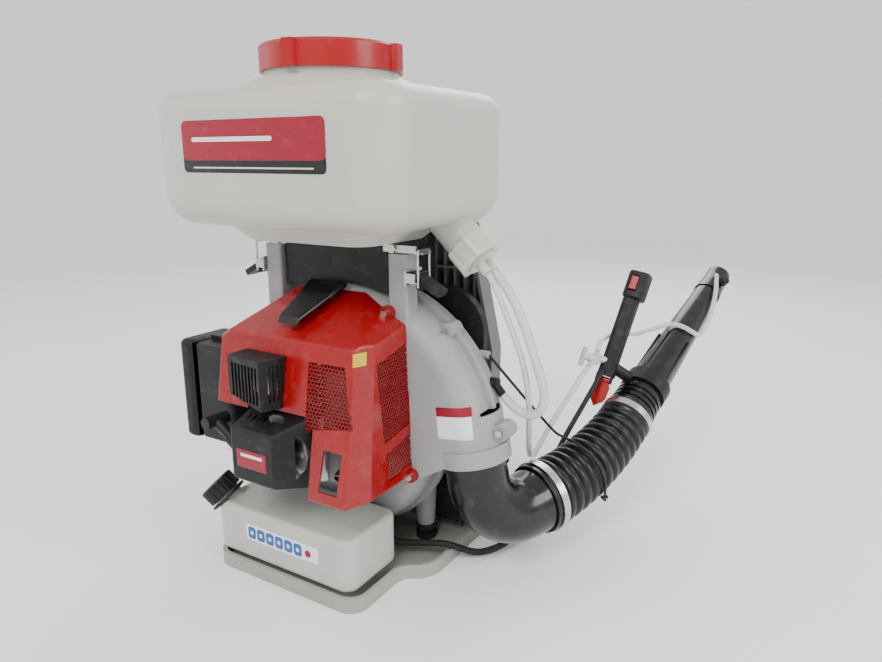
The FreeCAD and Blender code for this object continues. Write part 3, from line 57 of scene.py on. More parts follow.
# ------------------------------------------------------------ materials
class Shader:
    """A node material with object or surface coordinates and one principled shader."""

    def __init__(self, name, along_surface=False):
        self.mat = bpy.data.materials.new(name)
        self.mat.use_nodes = True
        self.tree = self.mat.node_tree
        self.tree.nodes.clear()
        self.bsdf = self.add("ShaderNodeBsdfPrincipled")
        output = self.add("ShaderNodeOutputMaterial")
        self.link(self.bsdf.outputs["BSDF"], output.inputs["Surface"])
        self.coords = self.add("ShaderNodeTexCoord").outputs["UV" if along_surface else "Object"]

    def add(self, kind, **values):
        node = self.tree.nodes.new(kind)
        for key, value in values.items():
            setattr(node, key, value)
        return node

    def link(self, source, target):
        self.tree.links.new(source, target)

    def set(self, **values):
        """Sets plain values on the shader's own sockets."""
        for key, value in values.items():
            self.bsdf.inputs[key.replace("_", " ")].default_value = value

    def noise(self, scale, detail=3.0, stretch=None):
        """Noise between 0 and 1, on stretched coordinates if a stretch is given."""
        source = self.coords
        if stretch is not None:
            mapping = self.add("ShaderNodeMapping")
            mapping.inputs["Scale"].default_value = stretch
            self.link(self.coords, mapping.inputs["Vector"])
            source = mapping.outputs["Vector"]
        node = self.add("ShaderNodeTexNoise")
        node.inputs["Scale"].default_value = scale
        node.inputs["Detail"].default_value = detail
        self.link(source, node.inputs["Vector"])
        return node.outputs["Fac"]

    def spread(self, value, low, high, out_low, out_high):
        """Maps one range of a value onto another."""
        node = self.add("ShaderNodeMapRange")
        for key, number in zip(("From Min", "From Max", "To Min", "To Max"), (low, high, out_low, out_high)):
            node.inputs[key].default_value = number
        self.link(value, node.inputs["Value"])
        return node.outputs["Result"]

    def combine(self, operation, first, second):
        """A maths node on two values, each a socket or a plain number."""
        node = self.add("ShaderNodeMath", operation=operation)
        for socket, value in zip(node.inputs, (first, second)):
            if isinstance(value, (int, float)):
                socket.default_value = value
            else:
                self.link(value, socket)
        return node.outputs["Value"]

    def mix(self, factor, first, second):
        """A blend of two colours, each a socket or a plain colour."""
        node = self.add("ShaderNodeMix", data_type="RGBA")
        self.link(factor, node.inputs["Factor"])
        for key, value in (("A", first), ("B", second)):
            socket = [item for item in node.inputs if item.name == key and item.type == "RGBA"][0]
            if isinstance(value, tuple):
                socket.default_value = (*value, 1.0)
            else:
                self.link(value, socket)
        return [item for item in node.outputs if item.type == "RGBA"][0]

    def bump(self, height, strength, distance):
        node = self.add("ShaderNodeBump")
        node.inputs["Strength"].default_value = strength
        node.inputs["Distance"].default_value = distance
        self.link(height, node.inputs["Height"])
        self.link(node.outputs["Normal"], self.bsdf.inputs["Normal"])

    def wave(self, scale, direction, rotation=None):
        """Bands along a direction, on turned coordinates if a rotation is given."""
        source = self.coords
        if rotation is not None:
            mapping = self.add("ShaderNodeMapping")
            mapping.inputs["Rotation"].default_value = rotation
            self.link(self.coords, mapping.inputs["Vector"])
            source = mapping.outputs["Vector"]
        node = self.add("ShaderNodeTexWave", bands_direction=direction)
        node.inputs["Scale"].default_value = scale
        self.link(source, node.inputs["Vector"])
        return node.outputs["Fac"]


def shade(color, factor):
    return tuple(min(1.0, part * factor) for part in color)


def plastic(name, color, rough, grain=700.0, bump=0.12, coat=0.0, vary=0.08, milky=0.0):
    """Moulded plastic: faint blotches, a fine grain and uneven gloss."""
    item = Shader(name)
    blotch = item.noise(11.0, 5.0)
    tone = item.mix(item.spread(blotch, 0.35, 0.65, 0, 1), shade(color, 1 - vary), shade(color, 1 + vary))
    dust = item.spread(item.noise(70.0, 6.0), 0.55, 0.75, 0.0, 0.35)
    tone = item.mix(item.combine("MULTIPLY", dust, 0.25), tone, tuple(0.5 * part + 0.25 for part in color))
    item.link(tone, item.bsdf.inputs["Base Color"])
    item.link(item.spread(item.noise(38.0, 5.0), 0.3, 0.7, rough * 0.85, rough * 1.25),
              item.bsdf.inputs["Roughness"])
    item.bump(item.noise(grain, 2.0), bump, 0.0003)
    item.set(Coat_Weight=coat, Coat_Roughness=0.12, Specular_IOR_Level=0.34)
    if milky:
        item.set(Subsurface_Weight=milky, Subsurface_Scale=0.03)
        item.bsdf.inputs["Subsurface Radius"].default_value = (1.0, 0.85, 0.6)
    return item.mat


def metal(name, color, rough, stretch):
    """Drawn or cast metal with streaks along one direction."""
    item = Shader(name)
    streak = item.noise(60.0, 6.0, stretch)
    item.link(item.mix(streak, shade(color, 0.78), shade(color, 1.12)), item.bsdf.inputs["Base Color"])
    item.link(item.spread(streak, 0.3, 0.7, rough * 0.7, rough * 1.35), item.bsdf.inputs["Roughness"])
    item.bump(streak, 0.2, 0.0002)
    item.set(Metallic=1.0)
    return item.mat


def clear_hose(name):
    """Clear flexible tube with a faint crossed thread inside its wall."""
    item = Shader(name, along_surface=True)
    braid = item.combine("MAXIMUM", item.wave(1.6, "DIAGONAL"),
                      item.wave(1.6, "DIAGONAL", (0, 0, math.radians(90))))
    threads = item.spread(braid, 0.93, 0.99, 0.0, 1.0)
    item.link(item.mix(threads, (0.83, 0.80, 0.74), (0.94, 0.93, 0.90)), item.bsdf.inputs["Base Color"])
    item.link(item.spread(item.noise(9.0), 0.3, 0.7, 0.16, 0.3), item.bsdf.inputs["Roughness"])
    item.bump(threads, 0.25, 0.0003)
    item.set(Transmission_Weight=0.45, IOR=1.4, Coat_Weight=0.4)
    return item.mat


def rubber(name, color, rough):
    return plastic(name, color, rough, grain=1400.0, bump=0.3, vary=0.2)


def woven(name, color, scale):
    """Dense nylon weave, with two crossing threads."""
    item = Shader(name)
    warp, weft = item.wave(scale, "X"), item.wave(scale, "Z")
    weave = item.combine("MULTIPLY", warp, weft)
    tone = item.mix(weave, shade(color, 0.6), shade(color, 1.7))
    soil = item.spread(item.noise(9.0, 5.0), 0.4, 0.7, 0.0, 0.3)
    item.link(item.mix(soil, tone, shade(color, 2.2)), item.bsdf.inputs["Base Color"])
    item.link(item.spread(item.noise(20.0), 0.3, 0.7, 0.75, 0.95), item.bsdf.inputs["Roughness"])
    item.bump(weave, 0.6, 0.0006)
    item.set(Sheen_Weight=0.08, Specular_IOR_Level=0.25)
    return item.mat


TANK = plastic("tank_milky", (0.52, 0.50, 0.445), 0.36, grain=420, bump=0.1, coat=0.15, vary=0.03, milky=0.25)
FUEL = plastic("fuel_milky", (0.50, 0.485, 0.44), 0.38, grain=420, bump=0.1, coat=0.1, vary=0.04, milky=0.2)
LID_RED = plastic("lid_red", (0.34, 0.0025, 0.004), 0.34, coat=0.12, vary=0.06)
COVER_RED = plastic("cover_red", (0.28, 0.0015, 0.003), 0.26, coat=0.3, vary=0.05)
GRILLE_RED = plastic("grille_red", (0.22, 0.0015, 0.003), 0.38, coat=0.1)
HOUSING = plastic("housing_grey", (0.31, 0.31, 0.305), 0.42, grain=900, bump=0.2, vary=0.05)
BASE = plastic("base_grey", (0.33, 0.32, 0.29), 0.48, grain=900, bump=0.2, vary=0.05)
PANEL = plastic("panel_grey", (0.15, 0.155, 0.155), 0.5, grain=900, bump=0.2)
BLACK = plastic("black_matt", (0.006, 0.006, 0.0065), 0.48, grain=1100, bump=0.35, vary=0.25)
GLOSS = plastic("black_gloss", (0.004, 0.004, 0.0045), 0.2, coat=0.3, bump=0.05, vary=0.2)
RUBBER = rubber("rubber_black", (0.014, 0.014, 0.014), 0.55)
HOSE = plastic("hose_black", (0.004, 0.004, 0.0045), 0.32, coat=0.15, bump=0.08, vary=0.2)
STEEL = metal("steel", (0.60, 0.59, 0.57), 0.28, (1.0, 1.0, 12.0))
ALU = metal("aluminium", (0.50, 0.50, 0.50), 0.42, (1.0, 1.0, 1.0))
DARK_STEEL = metal("hot_steel", (0.20, 0.19, 0.18), 0.45, (1.0, 1.0, 2.0))
FAN = plastic("fan_dark", (0.05, 0.05, 0.055), 0.45)
CLEAR = clear_hose("clear_hose")
CORD = rubber("cord_black", (0.012, 0.012, 0.012), 0.5)
FABRIC = woven("pad_fabric", (0.012, 0.012, 0.014), 420.0)
WHITE = plastic("valve_white", (0.55, 0.55, 0.52), 0.35, coat=0.2, vary=0.03)
RED_SWITCH = plastic("switch_red", (0.36, 0.003, 0.004), 0.3, coat=0.35)

NODE_LOOKS = {
    TANK: "chemical_tank outlet_collar outlet_nipples", FUEL: "fuel_tank", LID_RED: "tank_lid",
    COVER_RED: "engine_cover", HOUSING: "fan_housing_front fan_housing_rear", BASE: "base_tray",
    PANEL: "back_frame",
    BLACK: "intake_guard filter_base filter_cover muffler_guard fuel_cap tank_seat air_fitting control_grip "
           "handle_bracket starter_handle dose_dial latch_lever_left latch_lever_right starter_housing",
    GLOSS: "plug_cover blow_tube nozzle elbow_pipe", RUBBER: "rubber_mounts seat_gasket cap_tether",
    STEEL: "hose_clamp_inner hose_clamp_outer latch_rod_left latch_rod_right latch_brackets body_screws crankshaft",
    ALU: "crankcase cylinder carburettor flywheel", DARK_STEEL: "muffler", FAN: "impeller",
    WHITE: "valve_body valve_handle spark_plug", RED_SWITCH: "stop_switch throttle_lever", CORD: "starter_rope",
}
for material, names in NODE_LOOKS.items():
    for node in names.split():
        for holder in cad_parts[node].material_slots:
            holder.material = material


# ------------------------------------------------------------ camera, light and floor
def aim(position, forward):
    back = (-Vector(forward)).normalized()
    right = Vector((0, 0, 1)).cross(back).normalized()
    turn = Matrix((right, back.cross(right), back)).transposed()
    return Matrix.Translation(position) @ turn.to_4x4()


AZIMUTH, PITCH = math.radians(31.3), math.radians(13.9)
camera = bpy.data.objects.new("camera", bpy.data.cameras.new("camera"))
camera.data.lens, camera.data.sensor_width = 28.57, 36.0
camera.matrix_world = aim((0.600, -0.719, 0.548), (
    -math.sin(AZIMUTH) * math.cos(PITCH), math.cos(AZIMUTH) * math.cos(PITCH), -math.sin(PITCH)))
scene.collection.objects.link(camera)
scene.camera = camera


def softbox(name, position, target, width, power, tint=(1, 1, 1)):
    light = bpy.data.lights.new(name, "AREA")
    light.shape, light.size, light.energy, light.color = "SQUARE", width, power, tint
    holder = bpy.data.objects.new(name, light)
    holder.matrix_world = aim(position, Vector(target) - Vector(position))
    scene.collection.objects.link(holder)


softbox("key_light", (0.4, -1.9, 2.1), (0, 0, 0.35), 1.1, 48)
softbox("side_light", (2.2, 0.1, 1.3), (0.1, 0.1, 0.3), 1.0, 26)
softbox("fill_light", (-2.2, -0.9, 1.0), (0, 0, 0.35), 1.6, 9)
softbox("back_light", (-0.4, 2.2, 1.9), (0, 0, 0.4), 1.4, 30)

world = bpy.data.worlds.new("studio")
world.use_nodes = True
world.node_tree.nodes["Background"].inputs["Color"].default_value = (0.93, 0.935, 0.94, 1)
world.node_tree.nodes["Background"].inputs["Strength"].default_value = 1.05
scene.world = world


def mesh_object(name, verts, faces, material, smooth=True, uvs=None):
    mesh = bpy.data.meshes.new(name)
    mesh.from_pydata([tuple(v) for v in verts], [], faces)
    mesh.validate()
    if uvs is not None:
        layer = mesh.uv_layers.new(name="UVMap")
        for loop in mesh.loops:
            layer.data[loop.index].uv = uvs[loop.vertex_index]
    mesh.polygons.foreach_set("use_smooth", [smooth] * len(mesh.polygons))
    mesh.materials.append(material)
    item = bpy.data.objects.new(name, mesh)
    scene.collection.objects.link(item)
    return item


floor_shader = Shader("studio_floor")
floor_shader.link(floor_shader.mix(floor_shader.noise(3.0), (0.90, 0.90, 0.90), (0.93, 0.93, 0.93)),
                  floor_shader.bsdf.inputs["Base Color"])
floor_shader.set(Roughness=0.7)


def studio_bowl(flat, curve, top, sides=96):
    """A round floor that curves up into a plain wall, so every side has the same pale ground."""
    profile = [(flat * step / 6, 0.0) for step in range(1, 7)]
    profile += [(flat + curve * math.sin(t), curve * (1 - math.cos(t)))
                for t in [math.pi / 2 * step / 12 for step in range(1, 13)]]
    profile.append((flat + curve, top))
    verts = [(0, 0, 0)]
    for radius, height in profile:
        verts += [(radius * math.cos(2 * math.pi * k / sides), radius * math.sin(2 * math.pi * k / sides), height)
                  for k in range(sides)]
    faces = [(0, 1 + k, 1 + (k + 1) % sides) for k in range(sides)]
    for row in range(len(profile) - 1):
        for k in range(sides):
            a, b = 1 + row * sides + k, 1 + row * sides + (k + 1) % sides
            faces.append((a, a + sides, b + sides, b))
    return mesh_object("studio_floor", verts, faces, floor_shader.mat)


studio_bowl(3.2, 1.6, 3.6)


# ------------------------------------------------------------ shared places (millimetres)
def unit(*parts):
    return Vector(parts).normalized()


OUTLET, OUTLET_AXIS = Vector((191, 36, 176)), unit(0.19, 0, -0.982)
ELBOW_EXIT, WAND_AXIS = unit(0.395, 0.908, 0.14), unit(0.149, 0.874, 0.464)
ELBOW_BEND, HOSE_LENGTH, TUBE_LENGTH = 62.0, 208.0, 345.0


def bend_points(start, first, last, radius, count):
    angle = math.acos(first.dot(last))
    inward = (last - first * math.cos(angle)).normalized()
    centre = start + inward * radius
    turns = [angle * step / (count - 1) for step in range(count)]
    return [centre + (first * math.sin(t) - inward * math.cos(t)) * radius for t in turns]


BEND_START = OUTLET + OUTLET_AXIS * 42
BEND_END = bend_points(BEND_START, OUTLET_AXIS, ELBOW_EXIT, ELBOW_BEND, 3)[-1]
HOSE_START = BEND_END + ELBOW_EXIT * 36
HOSE_RADIUS = HOSE_LENGTH / math.acos(ELBOW_EXIT.dot(WAND_AXIS))
HOSE_LINE = bend_points(HOSE_START, ELBOW_EXIT, WAND_AXIS, HOSE_RADIUS, 41)
WAND_BASE = HOSE_LINE[-1]
WAND_SIDE = WAND_AXIS.cross(Vector((0, 0, 1))).normalized()
WAND_UP = WAND_SIDE.cross(WAND_AXIS).normalized()


def tube_radius(distance):
    return 35 - 13 * (distance + 6) / TUBE_LENGTH


def on_wand(distance, angle=0.0, reach=0.0):
    turn = math.radians(angle)
    return WAND_BASE + WAND_AXIS * distance + (WAND_SIDE * math.cos(turn) + WAND_UP * math.sin(turn)) * reach


# ------------------------------------------------------------ tubes and cords
def spline_line(route):
    """Points of the smooth line whose control points are the route, in metres."""
    data = bpy.data.curves.new("route_line", "CURVE")
    data.dimensions = "3D"
    data.resolution_u = 16
    spline = data.splines.new("NURBS")
    spline.points.add(len(route) - 1)
    for point, spot in zip(spline.points, route):
        point.co = (*(Vector(spot) * MM), 1.0)
    spline.order_u = 3
    spline.use_endpoint_u = True
    holder = bpy.data.objects.new("route_line", data)
    scene.collection.objects.link(holder)
    bpy.context.view_layer.update()
    mesh = bpy.data.meshes.new_from_object(holder)
    line = [v.co.copy() for v in mesh.vertices]
    bpy.data.objects.remove(holder)
    bpy.data.meshes.remove(mesh)
    return line


def even_line(line, step):
    """The same line with points a step apart, and its length."""
    total = sum((b - a).length for a, b in zip(line, line[1:]))
    count = max(2, round(total / step))
    gap, spots, travelled, target = total / count, [line[0].copy()], 0.0, total / count
    for a, b in zip(line, line[1:]):
        length = (b - a).length
        while length > 0 and travelled + length >= target - 1e-9 and len(spots) < count:
            spots.append(a.lerp(b, (target - travelled) / length))
            target += gap
        travelled += length
    spots.append(line[-1].copy())
    return spots, total


def tube_mesh(name, line, radius_at, material, sides=20, closed=True, wall=0.0):
    """A tube round a line; radius_at takes the distance and the whole length, in metres."""
    tangents = [(b - a).normalized() for a, b in zip(line, line[1:])]
    tangents.append(tangents[-1])
    across = tangents[0].orthogonal().normalized()
    verts, uvs, travelled = [], [], 0.0
    total = sum((b - a).length for a, b in zip(line, line[1:]))
    for index, (spot, way) in enumerate(zip(line, tangents)):
        if index:
            travelled += (spot - line[index - 1]).length
        across = (across - way * across.dot(way)).normalized()
        side = way.cross(across)
        radius = radius_at(travelled, total)
        for step in range(sides):
            turn = 2 * math.pi * step / sides
            verts.append(spot + (across * math.cos(turn) + side * math.sin(turn)) * radius)
            uvs.append((travelled / 0.02, 6.0 * step / sides))
    faces = []
    for row in range(len(line) - 1):
        for step in range(sides):
            a, b = row * sides + step, row * sides + (step + 1) % sides
            faces.append((a, b, b + sides, a + sides))
    if closed:
        faces.append(tuple(reversed(range(sides))))
        faces.append(tuple(range((len(line) - 1) * sides, len(line) * sides)))
    item = mesh_object(name, verts, faces, material, uvs=uvs)
    if wall:
        shell = item.modifiers.new("wall", "SOLIDIFY")
        shell.thickness, shell.offset = wall, -1.0
        apply_modifiers(item)
    return item


def apply_modifiers(item):
    bpy.context.view_layer.update()
    graph = bpy.context.evaluated_depsgraph_get()
    mesh = bpy.data.meshes.new_from_object(item.evaluated_get(graph))
    item.modifiers.clear()
    item.data = mesh


ROUTES = {
    "air_tube": [
        (207.8, 54, 411.2), (225, 55, 392), (240, 57, 366), (254, 59, 332), (266, 61, 297), (276, 62, 268),
        (277, 64, 244), (266, 65, 228), (248, 66, 226), (232, 65, 234), (219, 63, 248)],
    "liquid_tube_lower": [
        (207.8, 36, 411.2), (221, 38, 390), (231, 44, 358), (243, 52, 322), (250, 62, 286), (250, 76, 246),
        (244, 94, 208), (234, 116, 172), (225, 140, 142), (215, 166, 122), (211, 190, 114)],
    "liquid_tube_upper": [
        (211, 190, 114), (210, 206, 118), (214, 218, 132), (220, 228, 150), (229, 242, 171), (237, 258, 192),
        (243, 274, 209), (247, 290, 222), (250, 303, 230)],
    "liquid_tube_nozzle": [
        (257, 323, 251), (255, 333, 260), (258, 349, 266), (261, 370, 268), (274, 393, 266), (285, 416, 262),
        (292, 441, 260)] + [
        tuple(on_wand(distance, angle, tube_radius(distance) + gap)) for distance, angle, gap in (
            (172, 136, 26), (186, 134, 16), (199, 115, 10), (205, 92, 6.5), (206, 62, 6.5), (209, 32, 6.5),
            (220, 4, 6.5), (240, -6, 6.5), (270, 2, 6.5), (300, 18, 6.5), (328, 36, 6.5), (350, 54, 6.5))] + [
        tuple(on_wand(366, 66, 28))],
    "cable_conduit_lower": [
        (30, -34, 141.8), (33, -28, 124), (40, -17, 106), (52, -16.5, 86), (66, -16.5, 64), (76, -15, 42),
        (92, -2, 28), (108, 14, 24), (132, 20, 28), (155, 30, 29), (173, 44, 18), (188, 62, 8), (201, 88, 6),
        (209, 118, 7), (213, 146, 14), (216, 170, 30), (217, 190, 52)],
    "cable_conduit_upper": [
        (217, 190, 52), (219, 204, 72), (226, 214, 94), (236, 224, 114), (243, 240, 138), (250, 260, 160),
        (256, 280, 180), (262, 303, 201), (267, 323.6, 220.3)],
    "suspension_cord": [
        (193, 73, 295), (242, 179, 163), (256, 190, 152), (282, 181.5, 151.2), (313.6, 176.3, 133.8),
        (328.3, 181.3, 101), (321.8, 192.2, 71.7)],
}


RIB_PITCH, RIB_STEP, PLAIN_STEP, PLAIN_END = 0.0032, 0.0008, 0.003, 0.008


def cord_piece(name, node, diameter, length, material,
               ribs=0.0, bodies=("root",), crossing=None):
    """A cord or hose as a tube mesh along the smooth line of its route."""
    line, measured = even_line(spline_line(ROUTES[node]), RIB_STEP if ribs else PLAIN_STEP)

    def radius_at(travelled, total):
        swell = 0.0
        if ribs and PLAIN_END < travelled < total - PLAIN_END:
            swell = -ribs * (0.5 + 0.5 * math.cos(2 * math.pi * travelled / RIB_PITCH)) ** 2
        return diameter / 2 + swell

    item = tube_mesh(name, line, radius_at, material, sides=16)
    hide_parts(node)
    if crossing:
        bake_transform(item)
    else:
        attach(item, bodies[0])
    print("cord", name, "line", round(measured, 4), "said", length)
    return item


cord_piece("air_hose", "air_tube", 0.012, 0.257, CLEAR)
cord_piece("liquid_hose_lower", "liquid_tube_lower", 0.008, 0.363, CLEAR,
           bodies=("root", "elbow"), crossing=((243, 52, 322), (211, 190, 114)))
cord_piece("liquid_hose_upper", "liquid_tube_upper", 0.008, 0.171, CLEAR,
           bodies=("elbow", "wand"), crossing=((211, 190, 114), (250, 303, 230)))
cord_piece("liquid_hose_nozzle", "liquid_tube_nozzle", 0.008, 0.402, CLEAR, bodies=("wand",))
cord_piece("conduit_lower", "cable_conduit_lower", 0.010, 0.408, CORD, ribs=0.0012,
           bodies=("root", "elbow"), crossing=((132, 20, 28), (217, 190, 52)))
cord_piece("conduit_upper", "cable_conduit_upper", 0.008, 0.223, CORD,
           bodies=("elbow", "wand"), crossing=((217, 190, 52), (267, 323.6, 220.3)))

KNOT_R, KNOT_RISE = 0.0035, 0.0018
knot_line = []
for step in range(23):
    angle = 2 * math.pi * step / 24
    knot_line.append(Vector(ROUTES["suspension_cord"][-1]) * MM + Vector((
        KNOT_R * math.cos(angle), KNOT_R * math.sin(angle), KNOT_RISE * math.sin(2 * angle))))
knot = tube_mesh("cord_knot", knot_line, lambda d, t: 0.0022, CORD, sides=10)
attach(knot, "elbow")
cord_piece("hang_cord", "suspension_cord", 0.004, 0.324, CORD,
           bodies=("root", "elbow"), crossing=((193, 73, 295), (242, 179, 163)))


# ------------------------------------------------------------ bellows hose
RIDGES, RIDGE_HEIGHT, RIDGE_SHARPNESS = 12, 0.0062, 2.2
CUFF_LENGTH, CREST_LIFT = 0.022, 0.0005
HOSE_BIG_R, HOSE_NARROWS = 49.3, 10.1


def bellows_radius(travelled, total):
    """Rounded ridges between plain ends, narrowing towards the wand."""
    base = (HOSE_BIG_R - HOSE_NARROWS * travelled / total) * MM
    if travelled < CUFF_LENGTH or travelled > total - CUFF_LENGTH:
        return base
    phase = (travelled - CUFF_LENGTH) / (total - 2 * CUFF_LENGTH) * RIDGES
    valley = (0.5 + 0.5 * math.cos(2 * math.pi * phase)) ** RIDGE_SHARPNESS
    return base + CREST_LIFT - RIDGE_HEIGHT * valley


HOSE_OVERLAP = 14
hose_line = [(HOSE_START - ELBOW_EXIT * HOSE_OVERLAP) * MM] + [spot * MM for spot in HOSE_LINE]
hose_line.append((WAND_BASE + WAND_AXIS * HOSE_OVERLAP) * MM)
hose_line, _ = even_line(hose_line, 0.0012)
hose = tube_mesh("bellows", hose_line, bellows_radius, HOSE, sides=64, closed=False, wall=0.0026)
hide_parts("bellows_hose")
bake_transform(hose)


# ------------------------------------------------------------ honeycomb grilles
def inside(spot, outline, grow):
    """Whether a point is inside a convex outline grown by a margin."""
    turns = []
    for a, b in zip(outline, outline[1:] + outline[:1]):
        edge = Vector(b) - Vector(a)
        offset = Vector(spot) - Vector(a)
        turns.append((edge.x * offset.y - edge.y * offset.x) / edge.length)
    return min(turns) > -grow or max(turns) < grow


def honeycomb(name, outline, place, pitch=5.2, thick=1.3):
    """A plate of hexagonal rings over an outline in (u, v); place turns (u, v, depth) into a point."""
    verts, faces, margin = [], [], 1.2
    lows = [min(p[k] for p in outline) for k in (0, 1)]
    highs = [max(p[k] for p in outline) for k in (0, 1)]
    cell_r = pitch / math.sqrt(3)
    outer_r, inner_r = cell_r * 1.02, cell_r * 0.70
    row, v = 0, lows[1]
    while v < highs[1] + pitch:
        u = lows[0] + (pitch / 2 if row % 2 else 0)
        while u < highs[0] + pitch:
            if inside((u, v), outline, margin):
                start = len(verts)
                for radius, depth in ((outer_r, 0), (inner_r, 0), (inner_r, thick), (outer_r, thick)):
                    for step in range(6):
                        turn = math.radians(60 * step + 30)
                        verts.append(place(u + radius * math.cos(turn), v + radius * math.sin(turn), depth) * MM)
                for ring in range(4):
                    for step in range(6):
                        a, b = start + ring * 6 + step, start + ring * 6 + (step + 1) % 6
                        c = start + (ring + 1) % 4 * 6
                        faces.append((a, b, c + (step + 1) % 6, c + step))
            u += pitch
        v += pitch * math.sqrt(3) / 2
        row += 1
    item = mesh_object(name, verts, faces, GRILLE_RED, smooth=False)
    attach(item, "root")


COVER_FOOT, COVER_TALL, SET_BACK = 140, 191, 0.8


def front_plane(u, v, depth):
    """The cover's front face, which leans back by 33 over its height."""
    return Vector((u, -138 + (v - COVER_FOOT) * 33 / COVER_TALL + SET_BACK + depth, v))


def side_plane(u, v, depth):
    """The cover's side face, which leans in by 7 over its height."""
    return Vector((125 - (v - COVER_FOOT) * 7 / COVER_TALL - SET_BACK - depth, u, v))


honeycomb("grille_front", [(42, 309), (98, 310), (112, 239), (44, 226)], front_plane)
honeycomb("grille_side_upper", [(-76, 307), (-8, 322), (-12, 214), (-68, 204)], side_plane)
honeycomb("grille_side_lower", [(-66, 190), (-10, 200), (-10, 158), (-62, 152)], side_plane)


# ------------------------------------------------------------ labels
def flat_material(name, color, rough=0.35):
    return plastic(name, color, rough, grain=2000, bump=0.03, coat=0.2, vary=0.02)


LABEL_RED = flat_material("label_red", (0.26, 0.002, 0.018))
LABEL_BLACK = flat_material("label_black", (0.006, 0.006, 0.006))
LABEL_WHITE = flat_material("label_white", (0.80, 0.80, 0.80))
LABEL_BLUE = flat_material("label_blue", (0.01, 0.09, 0.34))
LABEL_YELLOW = flat_material("label_yellow", (0.60, 0.42, 0.005))


def plate(name, corner, right, up, width, height, radius, material, thick=0.35, lift=0.0):
    """A thin rounded plate lying on a surface; corner is its lower left, in millimetres."""
    right, up = Vector(right).normalized(), Vector(up).normalized()
    out = right.cross(up).normalized()
    ring = []
    for centre, first in (((width - radius, radius), -90), ((width - radius, height - radius), 0),
                          ((radius, height - radius), 90), ((radius, radius), 180)):
        for step in range(7):
            turn = math.radians(first + 15 * step)
            ring.append((centre[0] + radius * math.cos(turn), centre[1] + radius * math.sin(turn)))
    count = len(ring)
    verts = []
    for depth, shrink in ((lift, 0.0), (lift + thick * 0.7, 0.0), (lift + thick, 0.25)):
        for u, v in ring:
            pull_u = shrink if u < width / 2 else -shrink
            pull_v = shrink if v < height / 2 else -shrink
            verts.append((Vector(corner) + right * (u + pull_u) + up * (v + pull_v) + out * depth) * MM)
    faces = [tuple(reversed(range(count))), tuple(range(2 * count, 3 * count))]
    for level in range(2):
        for step in range(count):
            a, b = level * count + step, level * count + (step + 1) % count
            faces.append((a, b, b + count, a + count))
    item = mesh_object(name, verts, faces, material, smooth=False)
    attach(item, "root")


X, Z = (1, 0, 0), (0, 0, 1)
TANK_FACE = -143.5
plate("tank_label_red", (-109, TANK_FACE, 545), X, Z, 220, 45, 7, LABEL_RED, thick=0.5)
plate("tank_label_black", (-109, TANK_FACE, 531), X, Z, 220, 21, 6, LABEL_BLACK)
plate("tank_label_bar", (-92, TANK_FACE, 566), X, Z, 128, 5, 2.4, LABEL_WHITE, lift=0.5, thick=0.3)
plate("tank_label_rule", (-92, TANK_FACE, 536), X, Z, 186, 1.6, 0.7, LABEL_WHITE, lift=0.3, thick=0.3)
FUEL_FACE, ICONS, ICON_STEP = -128.0, 6, 16.2
plate("fuel_label", (-66, FUEL_FACE, 49), X, Z, 126, 23, 3, LABEL_WHITE)
for number in range(ICONS):
    left = number * ICON_STEP
    plate(f"fuel_label_icon_{number}", (left - 62, FUEL_FACE, 52), X, Z, 14, 17, 4, LABEL_BLUE,
          lift=0.35, thick=0.2)
    plate(f"fuel_label_dot_{number}", (left - 57.5, FUEL_FACE, 57.5), X, Z, 5, 6, 2.4, LABEL_WHITE,
          lift=0.55, thick=0.15)
plate("fuel_label_disc", (38, FUEL_FACE, 55), X, Z, 10, 10, 4.9, LABEL_RED, lift=0.35, thick=0.2)


def decal(name, node, centre, inward, width, height, material, lift=0.25, turn=0.0):
    """A thin sticker that follows a curved face, found by casting from in front of it."""
    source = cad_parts[node].data
    tree = BVHTree.FromPolygons([v.co for v in source.vertices], [tuple(p.vertices) for p in source.polygons])
    inward = Vector(inward).normalized()
    right = inward.cross(Vector(Z)).normalized()
    up = right.cross(inward).normalized()
    spin = math.radians(turn)
    right, up = right * math.cos(spin) + up * math.sin(spin), up * math.cos(spin) - right * math.sin(spin)
    columns, rows, verts = 20, 14, []
    stand_off, sheet = 200, 0.0002
    for j in range(rows + 1):
        for i in range(columns + 1):
            spot = Vector(centre) + right * width * (i / columns - 0.5) + up * height * (j / rows - 0.5)
            hit, normal, _, _ = tree.ray_cast((spot - inward * stand_off) * MM, inward)
            if hit is None:
                raise RuntimeError(f"{name} misses {node}")
            verts.append(hit - inward * lift * MM)
    step = columns + 1
    faces = [(j * step + i, j * step + i + 1, (j + 1) * step + i + 1, (j + 1) * step + i)
             for j in range(rows) for i in range(columns)]
    item = mesh_object(name, verts, faces, material)
    shell = item.modifiers.new("sheet", "SOLIDIFY")
    shell.thickness, shell.offset = sheet, 0.0
    apply_modifiers(item)
    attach(item, "root")


VIEW_IN = (-0.45, 0.89, -0.1)
decal("housing_label", "fan_housing_front", (183, 0, 222), VIEW_IN, 46, 38, LABEL_WHITE, turn=6)
decal("housing_label_band", "fan_housing_front", (182, 0, 239), VIEW_IN, 46, 12, LABEL_RED, lift=0.45, turn=6)
decal("engine_label", "starter_housing", (-12, -150, 187), (0, 1, 0), 50, 24, LABEL_RED)
decal("engine_label_band", "starter_housing", (-12, -150, 192), (0, 1, 0), 36, 4, LABEL_WHITE, lift=0.45)
decal("cover_sticker", "engine_cover", (112, -100, 319), (-0.3, 0.95, 0), 12, 16, LABEL_YELLOW)


